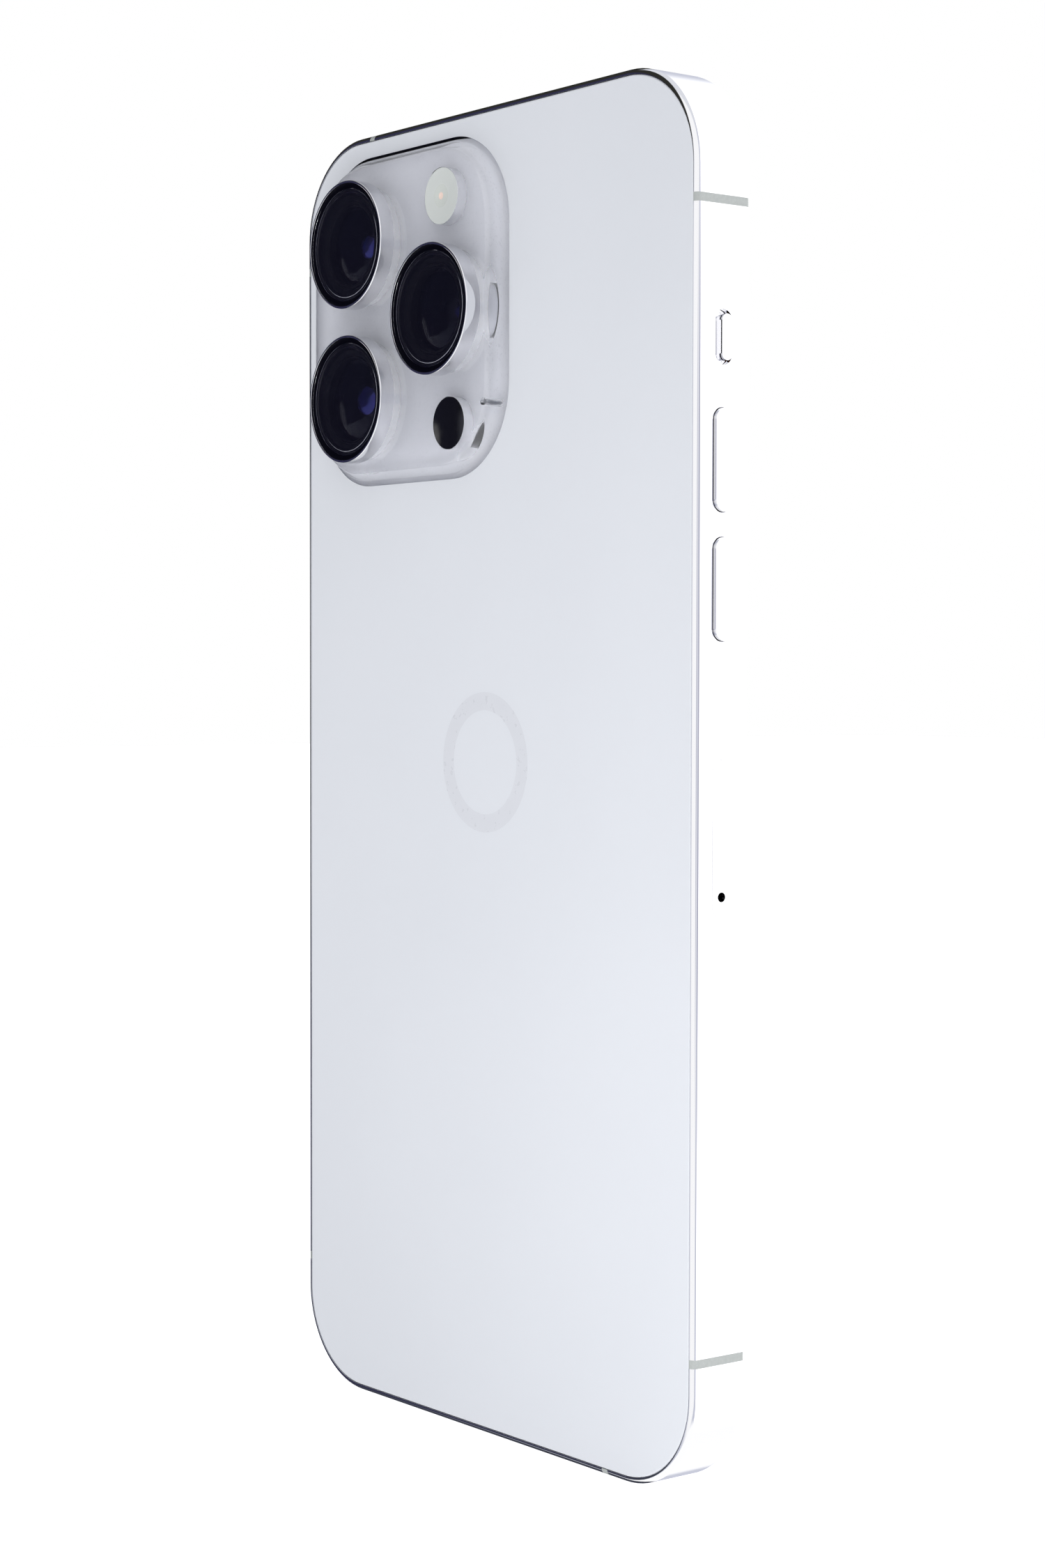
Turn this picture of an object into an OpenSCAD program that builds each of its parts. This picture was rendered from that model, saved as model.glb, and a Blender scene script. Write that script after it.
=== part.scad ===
// Large smartphone: polished steel band, frosted back glass, three-lens camera plateau.
// Standing on its bottom edge, back towards -Y, screen towards +Y, up is +Z.

/* [Body] */
// Width across the flat sides of the band
body_w = 77.6; // [64:0.1:96]
// Height from the bottom edge to the top edge
body_h = 160.7; // [132:0.1:196]
// Thickness from back glass to front glass
body_t = 7.85; // [7.6:0.05:9.6]
// Radius of the four corners of the outline
corner_r = 12; // [10:0.5:15]
// Radius that rounds the band's front and back edges
edge_r = 0.7; // [0.4:0.05:1]
// Wall thickness of the steel band
band_wall = 2.2; // [1.9:0.1:2.8]

/* [Glass and display] */
// Thickness of the back glass beside the camera plateau
back_glass_t = 0.8; // [0.6:0.05:1]
// Thickness of the front cover glass
front_glass_t = 0.7; // [0.5:0.05:0.9]
// Gap round each glass sheet
glass_gap = 0.05; // [0.03:0.01:0.12]
// Thickness of the glue and gasket layers
glue_t = 0.1; // [0.05:0.01:0.2]
// Thickness of the picture panel
panel_t = 0.7; // [0.4:0.05:1]
// Thickness of the plate behind the panel
panel_plate_t = 0.3; // [0.2:0.05:0.5]
// Length of the pill-shaped sensor opening in the panel
island_w = 20.6; // [16:0.1:26]
// Height of the pill-shaped sensor opening
island_h = 6; // [5:0.1:8]
// Distance of the sensor opening's middle from the top edge
island_from_top = 9.5; // [8:0.1:14]

/* [Mid plate and charging coil] */
// Thickness of the plate welded inside the band
plate_t = 0.4; // [0.3:0.05:0.6]
// Distance of the coil's middle below the body's middle
coil_below_middle = 3.65; // [2:0.05:5]
// Outer diameter of the magnet ring
magnet_outer_d = 55; // [50:0.5:57]
// Inner diameter of the magnet ring
magnet_inner_d = 46.4; // [44:0.2:47]
// Number of magnets in the ring
magnet_count = 18; // [12:1:24]
// Outer diameter of the winding
winding_outer_d = 41; // [34:0.5:43]
// Inner diameter of the winding
winding_inner_d = 19; // [14:0.5:24]

/* [Camera plateau] */
// Width of the raised plateau
plateau_w = 38; // [37:0.1:45]
// Height of the raised plateau
plateau_h = 39.3; // [38.5:0.1:47]
// How far the plateau stands out of the back glass
plateau_rise = 2.17; // [1.6:0.01:2.7]
// Corner radius of the plateau
plateau_corner_r = 10.2; // [8:0.1:12]
// Rounding of the plateau's outer edge
plateau_edge_r = 0.75; // [0.4:0.05:1.2]
// Blend where the plateau meets the back glass
plateau_foot_r = 0.9; // [0.4:0.05:1.3]
// Steepness of the plateau's side in degrees
plateau_slope = 62; // [50:1:80]
// Distance from the body's side to the plateau
plateau_from_side = 4.5; // [2.5:0.1:8]
// Distance from the body's top to the plateau
plateau_from_top = 3.9; // [2.5:0.1:8]

/* [Cameras, flash and depth sensor] */
// Outer diameter of each lens ring
ring_d = 16; // [13:0.1:17]
// How far a lens ring stands out of the plateau
ring_rise = 2; // [1.4:0.05:2.6]
// Width of the steel rim round each lens cover
ring_rim = 0.3; // [0.2:0.05:0.6]
// Width of the ledge inside a ring that carries the lens cover
ring_ledge = 1.3; // [0.8:0.05:1.6]
// Thickness of a lens cover
lens_cover_t = 0.6; // [0.4:0.05:0.8]
// Distance from the plateau's side to the two stacked lenses
lens_inset = 10.3; // [9.5:0.1:12]
// Distance from the plateau's top to the upper lens
lens_top_inset = 10.25; // [9.5:0.05:12]
// Distance between the two stacked lenses
lens_pitch = 19.35; // [17.5:0.05:20]
// Sideways distance from the stacked lenses to the third one
lens_step = 17.9; // [15.5:0.1:20]
// Drop from the upper lens to the third one
lens_drop = 9.75; // [8:0.05:12]
// Clearance round a focusing lens barrel in its ring
barrel_clear = 0.9; // [0.4:0.05:1.5]
// Travel of a barrel each way when it focuses
focus_travel = 0.2; // [0.1:0.05:0.3]
// Diameter of the flash window
flash_d = 6.8; // [5:0.1:7.5]
// Height of the flash above the third lens
flash_up = 13.75; // [12.8:0.05:15]
// Diameter of the depth sensor window
lidar_d = 6.35; // [5:0.05:7]
// Drop from the third lens to the depth sensor
lidar_down = 13.8; // [12.8:0.05:15]
// Sideways step from the third lens to the depth sensor
lidar_step = 1.55; // [0:0.05:3]
// Diameter of the rear microphone hole
rear_mic_d = 0.9; // [0.6:0.1:1.4]

/* [Buttons and switch] */
// Width of the long buttons
button_w = 2.7; // [2.2:0.1:3.4]
// How far the buttons stand out of the band
button_proud = 0.4; // [0.2:0.05:0.8]
// Travel of a button when it is pressed
button_travel = 0.3; // [0.2:0.05:0.4]
// Clearance round each button in its slot
button_gap = 0.12; // [0.06:0.01:0.2]
// Length of a volume button
volume_len = 11.5; // [9:0.1:12.5]
// Distance from the top edge to the middle of volume up
volume_up_from_top = 44.4; // [42:0.1:48]
// Distance from volume up to volume down
volume_pitch = 14.3; // [13.8:0.1:18]
// Length of the side button
side_len = 18.6; // [14:0.1:22]
// Distance from the top edge to the middle of the side button
side_from_top = 51.6; // [44:0.1:60]
// Length of the slot of the ring switch
switch_slot_len = 6.1; // [5:0.1:7.5]
// Width of the slot of the ring switch
switch_slot_w = 2.5; // [2.1:0.05:3]
// Width of the sliding cap in its slot
switch_cap_w = 1.55; // [1.1:0.05:1.7]
// Thickness left in the band in front of the switch's slider
switch_wall = 0.7; // [0.5:0.05:1.2]
// Distance from the top edge to the ring switch
switch_from_top = 30.85; // [28:0.05:33]

/* [Card tray] */
// Length of the tray's outer face
tray_len = 17.6; // [16.6:0.1:20]
// Width of the tray's outer face
tray_w = 2.7; // [2.2:0.1:3.2]
// Clearance round the tray in the band
tray_gap = 0.08; // [0.05:0.01:0.15]
// Thickness of the tray's outer face
tray_face_t = 1.6; // [1.2:0.1:1.8]
// Depth of the tray behind the side of the body
tray_depth = 16.5; // [15.5:0.5:19]
// Thickness of the tray plate
tray_plate_t = 0.85; // [0.7:0.05:1]
// Distance from the top edge to the middle of the tray
tray_from_top = 86.45; // [82:0.05:92]
// Distance from the tray's lower end to its pin hole
pin_inset = 2.3; // [2:0.1:3]
// Diameter of the pin hole
pin_hole_d = 1.1; // [0.8:0.1:1.3]
// Travel of the plunger that the pin pushes
plunger_travel = 1; // [0.6:0.1:1.2]

/* [Bottom edge] */
// Width of the charging port
port_w = 8.4; // [7:0.1:9.5]
// Height of the charging port
port_h = 2.7; // [2.4:0.1:3.2]
// Depth of the charging port
port_depth = 7.4; // [6:0.1:8.5]
// Diameter of the speaker and microphone holes
sound_hole_d = 1.5; // [1:0.1:1.7]
// Distance between neighbouring sound holes
sound_pitch = 2.2; // [2:0.1:2.4]
// Distance from the middle to the first sound hole
sound_start = 11.6; // [11:0.1:12.5]
// Number of speaker holes
speaker_holes = 7; // [4:1:8]
// Number of microphone holes
mic_holes = 5; // [2:1:5]
// Distance from the middle to each bottom screw
screw_x = 8.2; // [7.6:0.1:8.6]
// Diameter of a bottom screw's head
screw_head_d = 1.6; // [1.2:0.1:1.8]
// Diameter of a bottom screw's shank
screw_shank_d = 1; // [0.8:0.1:1.1]

/* [Antenna breaks] */
// Width of each plastic break in the band
break_w = 1; // [0.6:0.1:1.6]
// Distance from the ends of the body to the breaks in the sides
break_from_end = 15.75; // [14:0.05:20]
// Sideways place of the break in the top edge, from the middle
break_top_x = 23.9; // [22:0.1:25]
// Sideways place of the break in the bottom edge, from the middle
break_bottom_x = 23.3; // [23:0.1:25]

/* [Inside] */
// Width of the main circuit board
board_w = 25.5; // [20:0.5:27]
// Thickness of the main circuit board
board_t = 0.8; // [0.6:0.1:1]
// Height of the cans on each side of the board
can_t = 1.2; // [0.8:0.1:1.4]
// Height of the strip at the bottom for speaker and motor
bottom_strip_h = 24; // [20:0.5:28]
// Height of the battery's foot beside the bottom strip
battery_foot_h = 27; // [20:0.5:32]
// Travel of the vibrating mass each way
vibration_travel = 0.8; // [0.4:0.1:1]
// Wall of the vibration motor's case
motor_wall = 0.4; // [0.3:0.05:0.5]
// Thickness of the front sensor unit and the earpiece
front_unit_t = 1.4; // [1.2:0.1:1.6]
// Clearance between neighbouring inner units
part_gap = 0.3; // [0.2:0.05:0.5]

/* [Hidden] */
$fn = 64;

eps = 0.02;                       // overlap that keeps joined shapes clean
past = 1;                         // how far a cut reaches past the faces it opens
side_x = body_w / 2;              // flat side of the band
end_y = body_h / 2;               // flat top of the band, from the middle
mid_z = -body_t / 2;              // middle of the thickness
back_y = -(body_t - plateau_rise - ring_rise) / 2;   // back glass, with the whole depth centred
cavity_x = side_x - band_wall;    // inner face of the band at the sides
cavity_y = end_y - band_wall;     // inner face of the band at the ends

// Depths below the back glass
glue_in = 0.3;                    // glue stays back from the edge of the back glass
glue_reach = 1.2;
gasket_in = 0.1;
room_gap = 0.15;                  // air between stacked layers
glue_d = back_glass_t + glue_t;
plate_d = glue_d + plate_t;
coil_back_d = back_glass_t + 0.05;
winding_t = 0.4;
shield_t = 0.3;
magnet_t = 0.7;
shield_d = coil_back_d + winding_t + 0.03;
front_glass_d = body_t - front_glass_t;
panel_d = front_glass_d - panel_t;
panel_plate_d = panel_d - panel_plate_t;
room_d = panel_plate_d - room_gap;                 // last depth free for inner units
battery_d = shield_d + shield_t + room_gap;
front_unit_d = room_d - front_unit_t;          // front sensors and earpiece start here
camera_d = front_unit_d - room_gap;                // rear camera housings end here

// Buttons: flange inside the wall, room for the travel, then the switch plate
flange_t = 0.6;
flange_reach = 1.4;               // how much longer and wider than its cap a flange is
flange_lip = 0.8;
flange_flat = 0.1;
dome_d = 1.8;
dome_h = 0.12;
switch_plate_w = 2.4;
flange_x = cavity_x - button_gap;
flange_in_x = flange_x - flange_t;
switch_plate_t = 0.6;
switch_plate_x = flange_in_x - button_travel - button_gap;
unit_x = switch_plate_x - switch_plate_t - part_gap;    // inner units keep inside this
volume_up_y = end_y - volume_up_from_top;
volume_down_y = volume_up_y - volume_pitch;
side_button_y = end_y - side_from_top;
switch_y = end_y - switch_from_top;
switch_travel = switch_slot_w - switch_cap_w - 2 * button_gap;
switch_cap_z = mid_z - switch_travel / 2;
switch_cap_len = switch_slot_len - switch_slot_w + switch_cap_w;
switch_proud = 0.2;
slider_longer = 1.2;
slider_wider = 0.6;
slider_len = switch_slot_len + slider_longer;
slider_w = switch_slot_w + slider_wider;
slider_r = 0.8;
slider_x = side_x - switch_wall - button_gap;    // outer face of the slider's flange
switch_pin_len = 1.2;
switch_pin_w = 0.8;

// Plateau and what stands in it
plateau_x = -side_x + plateau_from_side + plateau_w / 2;
plateau_y = end_y - plateau_from_top - plateau_h / 2;
lens_x = plateau_x - plateau_w / 2 + lens_inset;
tele = [lens_x, plateau_y + plateau_h / 2 - lens_top_inset];
main = [tele[0], tele[1] - lens_pitch];
wide = [tele[0] + lens_step, tele[1] - lens_drop];
flash = [wide[0], wide[1] + flash_up];
lidar = [wide[0] + lidar_step, wide[1] - lidar_down];
rear_mic_in = 1.3;
rear_mic_up = 2.1;
rear_mic_at = [plateau_x + plateau_w / 2 - rear_mic_in, lidar[1] + rear_mic_up];
spigot_step = 1;
spigot_d = ring_d - spigot_step;            // part of a lens ring that passes through the glass
ring_bore_d = ring_d - 2 * (ring_rim + ring_ledge);
barrel_d = ring_bore_d - 2 * barrel_clear;
glass_fit = 0.05;                 // clearance of an insert in the glass
plateau_rim_w = 3;                // swept edge of the plateau, filled in the middle by a plain layer
foot_bite = 0.03;                 // the blend crosses the flat faces instead of just touching them
plateau_out = [sin(plateau_slope), cos(plateau_slope)];   // outward direction of the slope
plateau_slope_len = (plateau_rise - (plateau_edge_r + plateau_foot_r) * (1 - plateau_out[1])) / plateau_out[0];
cover_low = 0.05;                 // how far a cover lies below its ring's rim
cover_seat_z = plateau_rise + ring_rise - lens_cover_t - cover_low;
housing_most_w = 16.6;
housing_w = min(lens_pitch - part_gap, housing_most_w);
barrel_gap = 0.3;
barrel_end_gap = 0.1;
barrel_room = 0.45;               // from a barrel at the end of its travel to the lens cover
barrel_front_z = cover_seat_z - focus_travel - barrel_room;
pupil_share = 0.62;               // recess in a barrel's front, as a share of its diameter
pupil_deep = 0.9;
housing_r = 1.5;
led_pitch = 1.1;
led_w = 0.8;
led_t = 0.08;
flash_board_t = 0.7;
barrel_foot = 1.1;                // from a barrel's end to the back of its housing
barrel_back_d = max(camera_d - barrel_foot, plate_d + barrel_gap);
camera_low_y = main[1] - housing_w / 2;

depth_unit_w = 9;                 // depth sensor's own housing, below the third camera
depth_unit_t = 1.6;
depth_unit_d = plate_d + depth_unit_t;
rear_mic_unit_d = 2.2;

// Front
island_y = end_y - island_from_top;
slot_w = 12.6;                    // earpiece slot in the top edge of the front glass
slot_h = 0.75;
plate_in = 0.4;                   // how far the plate behind the panel stays back from its edge
front_eyes = [[-7, 4], [0, 3], [7, 3.4]];        // place and diameter of each front sensor
front_unit_r = 0.8;
front_unit_up = 0.5;
earpiece_side = 2;

// Mark on the back: a plain ring let into the glass
emblem_d = 17;
emblem_hole_d = 12.6;
emblem_t = 0.05;
emblem_above_coil = 5.2;
emblem_y = emblem_above_coil - coil_below_middle;

// Tray and ejector
tray_y = end_y - tray_from_top;
pin_y = tray_y - tray_len / 2 + pin_inset;
tray_in_x = side_x - tray_depth;
reader_wall = 0.35;
reader_gap = 0.15;
reader_room = 0.6;                // air behind the tray in its reader
reader_in_x = tray_in_x - reader_room;
card_w = 12.3;
card_h = 8.8;
card_t = 0.67;
card_floor_t = 0.12;
card_gap = 0.1;
card_in = 1.1;                    // from the tray's face to the card
tray_low_room = 2.2;              // from the pin hole to the tray's plate
tray_high_room = 0.5;
tray_low_y = pin_y + tray_low_room;
tray_high_y = tray_y + tray_len / 2 - tray_high_room;
card_x = side_x - tray_face_t - card_in - card_w / 2;
card_y = (tray_low_y + tray_high_y) / 2;
plunger_d = 1.1;
lever_t = 0.6;
lever_w = 1.2;
lever_x = reader_in_x - reader_wall - plunger_travel - lever_w / 2 - part_gap;
lever_arm = 4;
pivot_y = pin_y + lever_arm;
pivot_d = 0.9;
hub_d = 2.2;
plunger_gap = 0.25;
plunger_x = lever_x + lever_w / 2 + plunger_gap;

// Bottom strip: loudspeaker and vibration motor beside the port and its screws
strip_top_y = -cavity_y + bottom_strip_h;
strip_low_y = -cavity_y + part_gap;
connector_wall = 0.5;
screw_fit = 0.1;                  // clearance of a bottom screw in the band
screw_seat_t = 0.7;               // steel left under a screw's head
screw_sink = 0.5;                 // how deep the head lies in the bottom edge
screw_reach = 2.4;
screw_socket_d = 0.7;
screw_socket_deep = 0.4;
strip_side = 1.4;                 // room from the port and screws to the units beside them
mesh_t = 0.2;
mesh_overlap = 0.3;               // how far the mesh reaches past the sound holes
spout_narrow = 0.3;
spout_d = sound_hole_d - spout_narrow;     // mouths of the loudspeaker behind the band's holes
spout_deep = 3;
contact_count = 8;
contact_len = 3.4;
contact_t = 0.25;
contact_share = 0.6;              // share of the pitch that a contact fills
motor_low_room = 4.5;
motor_high_room = 6;
mass_gap = 0.25;
port_flex_back = 4;               // how far the ribbon reaches over the port and the strip
port_flex_t = 0.15;
mic_unit = [1.4, 2.1];            // reach of the microphone to each side of its hole
mic_unit_in = 0.5;
strip_in_x = max(port_w / 2 + connector_wall + part_gap, screw_x) + strip_side;
motor_x0 = strip_in_x;
motor_x1 = unit_x;
motor_y0 = strip_low_y + motor_low_room;
motor_y1 = strip_top_y - part_gap - motor_high_room;
motor_d0 = plate_d + part_gap;
motor_d1 = room_d - part_gap;

// Board, battery and coil
board_under = 0.1;                // air under the cans on the board's back
board_low_room = 1.8;             // from the tray's plate to the board
board_high_room = 3.2;            // from the band to the board
board_r = 1.2;
board_screw_in = 1.7;
board_screw_d = 1;
board_screw_fit = 0.4;
board_screw_head_t = 0.4;
can_rows = 3;
can_end_room = 1.5;
can_space = 1.2;
can_side_room = 3.5;              // bare board beside the cans, where the screws stand
can_r = 0.6;
board_x = unit_x - board_w;
board_low_y = tray_high_y + board_low_room;
board_high_y = cavity_y - board_high_room;
board_d = battery_d + can_t + board_under;
board_screw_at = [for (x = [board_x + board_screw_in, unit_x - board_screw_in], share = [0.03, 0.52, 0.97])
    [x, board_low_y + share * (board_high_y - board_low_y)]];
battery_left = -unit_x;
battery_right = board_x - part_gap;
battery_low = strip_top_y + part_gap;
battery_high = camera_low_y - part_gap;
foot_room = 1;                    // from the battery's foot to the ejector
foot_high = min(battery_low + battery_foot_h, pin_y - lever_w - foot_room);
battery_flex_gap = 0.05;
battery_flex_half = 6;            // reach of the battery's ribbon to each side
battery_flex_up = 3;
battery_flex_w = 5;
coil_y = -coil_below_middle;
magnet_d = coil_back_d + magnet_t;
align_w = 4;
align_h = 16;
align_gap = 5;
align_r = 0.6;
magnet_turn_gap = 1.2;            // degrees between neighbouring magnets
align_y = coil_y - magnet_outer_d / 2 - align_gap - align_h / 2;

steel = [0.86, 0.86, 0.88];
frost = [0.87, 0.88, 0.91];
black = [0.03, 0.03, 0.04];
gold = [0.83, 0.68, 0.36];
board_blue = [0.07, 0.1, 0.16];
tin = [0.66, 0.67, 0.69];
ribbon = [0.28, 0.16, 0.05];

// ---- Frames and shared shapes ----

// Middle of the back glass: x to the right from behind, y up, z out of the back
module phone() {
    translate([0, back_y, end_y]) rotate([90, 0, 0]) children();
}

// Flat shape made a layer between two depths below the back glass
module layer(d0, d1) {
    translate([0, 0, -d1]) linear_extrude(d1 - d0) children();
}

// Shape drawn in y and z, extruded along x
module along_x(x0, x1) {
    translate([x0, 0, 0]) rotate([90, 0, 90]) linear_extrude(x1 - x0) children();
}

// Shape drawn in x and z, extruded along y
module along_y(y0, y1) {
    translate([0, y1, 0]) rotate([90, 0, 0]) linear_extrude(y1 - y0) children();
}

// Rectangle with round corners about its middle
module rounded(w, h, r) {
    square([w - 2 * r, h], center = true);
    square([w, h - 2 * r], center = true);
    for (sx = [-1, 1], sy = [-1, 1]) translate([sx * (w / 2 - r), sy * (h / 2 - r)]) circle(r = r);
}

// Rectangle given by its low and high corners
module block(low, high) {
    translate(low) square(high - low);
}

// The body's outline, set in by a distance
module outline(inset) {
    rounded(body_w - 2 * inset, body_h - 2 * inset, corner_r - inset);
}

// Ring-shaped layer between two insets of the outline
module outline_ring(inset_out, inset_in, d0, d1) {
    layer(d0, d1) difference() {
        outline(inset_out);
        outline(inset_in);
    }
}

// Sweeps a section round a rounded rectangle: x is 0 on the outline and negative inside it
module swept_rim(w, h, r) {
    for (sx = [0, 1], sy = [0, 1]) mirror([sx, 0, 0]) mirror([0, sy, 0])
        translate([w / 2 - r, h / 2 - r, 0]) rotate_extrude(angle = 90) translate([r, 0]) children();
    for (sx = [0, 1]) mirror([sx, 0, 0])
        translate([w / 2, 0, 0]) along_y(-h / 2 + r, h / 2 - r) children();
    for (sy = [0, 1]) mirror([0, sy, 0])
        translate([0, h / 2, 0]) along_x(-w / 2 + r, w / 2 - r) children();
}

// Layer drilled or filled at a camera position
module disc(at, d, z0, z1) {
    translate([at[0], at[1], z0]) cylinder(d = d, h = z1 - z0);
}

// ---- Band ----

// Section of the band: rounded outer edges, a pocket for each glass sheet
module band_section() {
    difference() {
        union() {
            translate([-band_wall, -body_t + edge_r]) square([band_wall, body_t - 2 * edge_r]);
            translate([-band_wall, -body_t]) square([band_wall - edge_r, body_t]);
            for (z = [-edge_r, edge_r - body_t]) translate([-edge_r, z]) circle(r = edge_r);
        }
        translate([-band_wall - 1, -glue_d]) square([band_wall + 1 - edge_r, glue_d + 1]);
        translate([-band_wall - 1, -body_t - 1])
            square([band_wall + 1 - edge_r, front_glass_t + glue_t + 1]);
    }
}

module band_blank() {
    swept_rim(body_w, body_h, corner_r) band_section();
}

// Slabs across the band where the plastic breaks stand
module break_slabs() {
    reach = band_wall + 2;
    for (sx = [-1, 1], sy = [-1, 1])
        translate([sx * (side_x - band_wall / 2), sy * (end_y - break_from_end), mid_z])
            cube([reach, break_w, body_t + 2], center = true);
    translate([-break_top_x, end_y - band_wall / 2, mid_z])
        cube([break_w, reach, body_t + 2], center = true);
    translate([break_bottom_x, -end_y + band_wall / 2, mid_z])
        cube([break_w, reach, body_t + 2], center = true);
}

module button_slot(y, len) {
    along_x(cavity_x - past, side_x + past) translate([y, mid_z])
        rounded(len + 2 * button_gap, button_w + 2 * button_gap, button_w / 2 + button_gap - eps);
}

// Slot for the switch's cap, with a pocket behind it where the slider's flange runs
module switch_slot() {
    along_x(cavity_x - past, side_x + past) translate([switch_y, mid_z])
        rounded(switch_slot_len, switch_slot_w, switch_slot_w / 2 - eps);
    along_x(cavity_x - past, side_x - switch_wall) translate([switch_y, mid_z])
        rounded(slider_len + 2 * button_gap, slider_w + switch_travel + 2 * button_gap, slider_r + button_gap);
}

// Places each sound hole of one row: side is -1 for the speaker and 1 for the microphone
module sound_row(side, count) {
    for (i = [0 : count - 1]) translate([side * (sound_start + i * sound_pitch), 0, mid_z]) children();
}

module sound_holes() {
    for (row = [[-1, speaker_holes], [1, mic_holes]]) sound_row(row[0], row[1])
        translate([0, -end_y - past, 0]) rotate([-90, 0, 0]) cylinder(d = sound_hole_d, h = band_wall + 2 * past);
}

module bottom_screw_holes() {
    for (hole = [[screw_head_d + 2 * screw_fit, band_wall - screw_seat_t], [screw_shank_d + screw_fit, band_wall + past]],
         sx = [-1, 1])
        translate([sx * screw_x, -end_y - past, mid_z]) rotate([-90, 0, 0]) cylinder(d = hole[0], h = past + hole[1]);
}

module port_profile(grow) {
    translate([0, mid_z]) rounded(port_w + 2 * grow, port_h + 2 * grow, port_h / 2 + grow - eps);
}

module steel_band() {
    color(steel) phone() difference() {
        band_blank();
        break_slabs();
        button_slot(volume_up_y, volume_len);
        button_slot(volume_down_y, volume_len);
        mirror([1, 0, 0]) button_slot(side_button_y, side_len);
        switch_slot();
        along_x(cavity_x - past, side_x + past) translate([tray_y, mid_z])
            rounded(tray_len + 2 * tray_gap, tray_w + 2 * tray_gap, tray_w / 2 + tray_gap - eps);
        along_y(-end_y - past, -cavity_y + past) port_profile(0);
        sound_holes();
        bottom_screw_holes();
    }
}

module antenna_breaks() {
    color([0.76, 0.78, 0.78]) phone() intersection() {
        band_blank();
        break_slabs();
    }
}

// ---- Plate, back glass and plateau ----

module mid_plate() {
    color(tin) phone() layer(glue_d, plate_d) difference() {
        outline(band_wall + glass_fit);
        translate([0, coil_y]) circle(d = magnet_outer_d + 2 * part_gap);
        translate([0, align_y]) rounded(align_w + 2 * part_gap, align_h + 2 * part_gap, 1);
        block([lens_x - housing_w / 2 - part_gap, camera_low_y - part_gap],
              [wide[0] + housing_w / 2 + part_gap, tele[1] + housing_w / 2 + part_gap]);
        translate(rear_mic_at) circle(d = rear_mic_unit_d + 2 * part_gap);
    }
}

// Section of the plateau's edge: rounded at the top, a slope, then a blend into the sheet at its foot
module plateau_section() {
    sink = back_glass_t / 2;
    edge_at = [-plateau_edge_r * plateau_out[0] - plateau_slope_len * plateau_out[1] / 2, plateau_rise - plateau_edge_r];
    high = edge_at + plateau_edge_r * plateau_out;
    low = high + plateau_slope_len * [plateau_out[1], -plateau_out[0]];
    foot_at = low + plateau_foot_r * plateau_out;
    translate([-plateau_rim_w, -sink]) square([plateau_rim_w + edge_at[0], plateau_rise + sink]);
    translate(edge_at) circle(r = plateau_edge_r);
    polygon([[edge_at[0] - eps, -sink], [edge_at[0] - eps, edge_at[1]], edge_at, high, low, [low[0], -sink]]);
    difference() {
        translate([low[0] - eps, -sink]) square([foot_at[0] - low[0] + eps, low[1] + sink]);
        translate(foot_at - [1, 1] * foot_bite) circle(r = plateau_foot_r);
    }
}

module back_glass() {
    color(frost) phone() difference() {
        union() {
            layer(0, back_glass_t) outline(edge_r + glass_gap);
            translate([plateau_x, plateau_y, 0]) {
                swept_rim(plateau_w, plateau_h, plateau_corner_r) plateau_section();
                layer(-plateau_rise, back_glass_t / 2)
                    rounded(plateau_w - plateau_rim_w, plateau_h - plateau_rim_w,
                            plateau_corner_r - plateau_rim_w / 2);
            }
        }
        for (at = [tele, main, wide]) disc(at, spigot_d + 2 * glass_fit, -back_glass_t - past, plateau_rise + past);
        disc(flash, flash_d + 2 * glass_fit, -back_glass_t - past, plateau_rise + past);
        disc(lidar, lidar_d + 2 * glass_fit, -back_glass_t - past, plateau_rise + past);
        disc(rear_mic_at, rear_mic_d, -back_glass_t - past, plateau_rise + past);
        layer(-past, emblem_t) emblem_shape();
    }
}

module back_glue() {
    color(black) phone()
        outline_ring(edge_r + glass_gap + glue_in, band_wall + glue_reach, back_glass_t, glue_d);
}

// Plain ring let into the back glass, flush with it
module emblem_shape() {
    translate([0, emblem_y]) difference() {
        circle(d = emblem_d);
        circle(d = emblem_hole_d);
    }
}

module back_emblem() {
    color([0.83, 0.84, 0.87]) phone() layer(0, emblem_t) emblem_shape();
}

// ---- Rear cameras ----

module lens_ring(at) {
    color(steel) phone() difference() {
        union() {
            disc(at, ring_d, plateau_rise, plateau_rise + ring_rise);
            disc(at, spigot_d, -back_glass_t, plateau_rise + eps);
        }
        disc(at, ring_bore_d, -back_glass_t - past, plateau_rise + ring_rise + past);
        disc(at, ring_d - 2 * ring_rim, cover_seat_z, plateau_rise + ring_rise + past);
    }
}

module lens_cover(at) {
    color(black) phone()
        disc(at, ring_d - 2 * ring_rim - 2 * eps, cover_seat_z, cover_seat_z + lens_cover_t);
}

module camera_housing(at) {
    color([0.12, 0.12, 0.13]) phone() difference() {
        translate(at) layer(glue_d + glass_fit, camera_d) rounded(housing_w, housing_w, housing_r);
        disc(at, barrel_d + 2 * barrel_gap, -barrel_back_d - focus_travel - barrel_end_gap, past);
    }
}

module focus_barrel(at) {
    color([0.05, 0.05, 0.07]) phone() difference() {
        disc(at, barrel_d, -barrel_back_d, barrel_front_z);
        disc(at, barrel_d * pupil_share, barrel_front_z - pupil_deep, barrel_front_z + past);
    }
}

module flash_window() {
    color([0.8, 0.82, 0.8, 0.6]) phone() disc(flash, flash_d, -back_glass_t, plateau_rise);
}

module flash_board() {
    color(gold) phone() {
        disc(flash, flash_d - 2 * part_gap, -glue_d - flash_board_t, -glue_d);
        for (i = [-1 : 1], j = [-1 : 1])
            translate([flash[0] + i * led_pitch, flash[1] + j * led_pitch, -glue_d])
                linear_extrude(led_t) square(led_w, center = true);
    }
}

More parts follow.
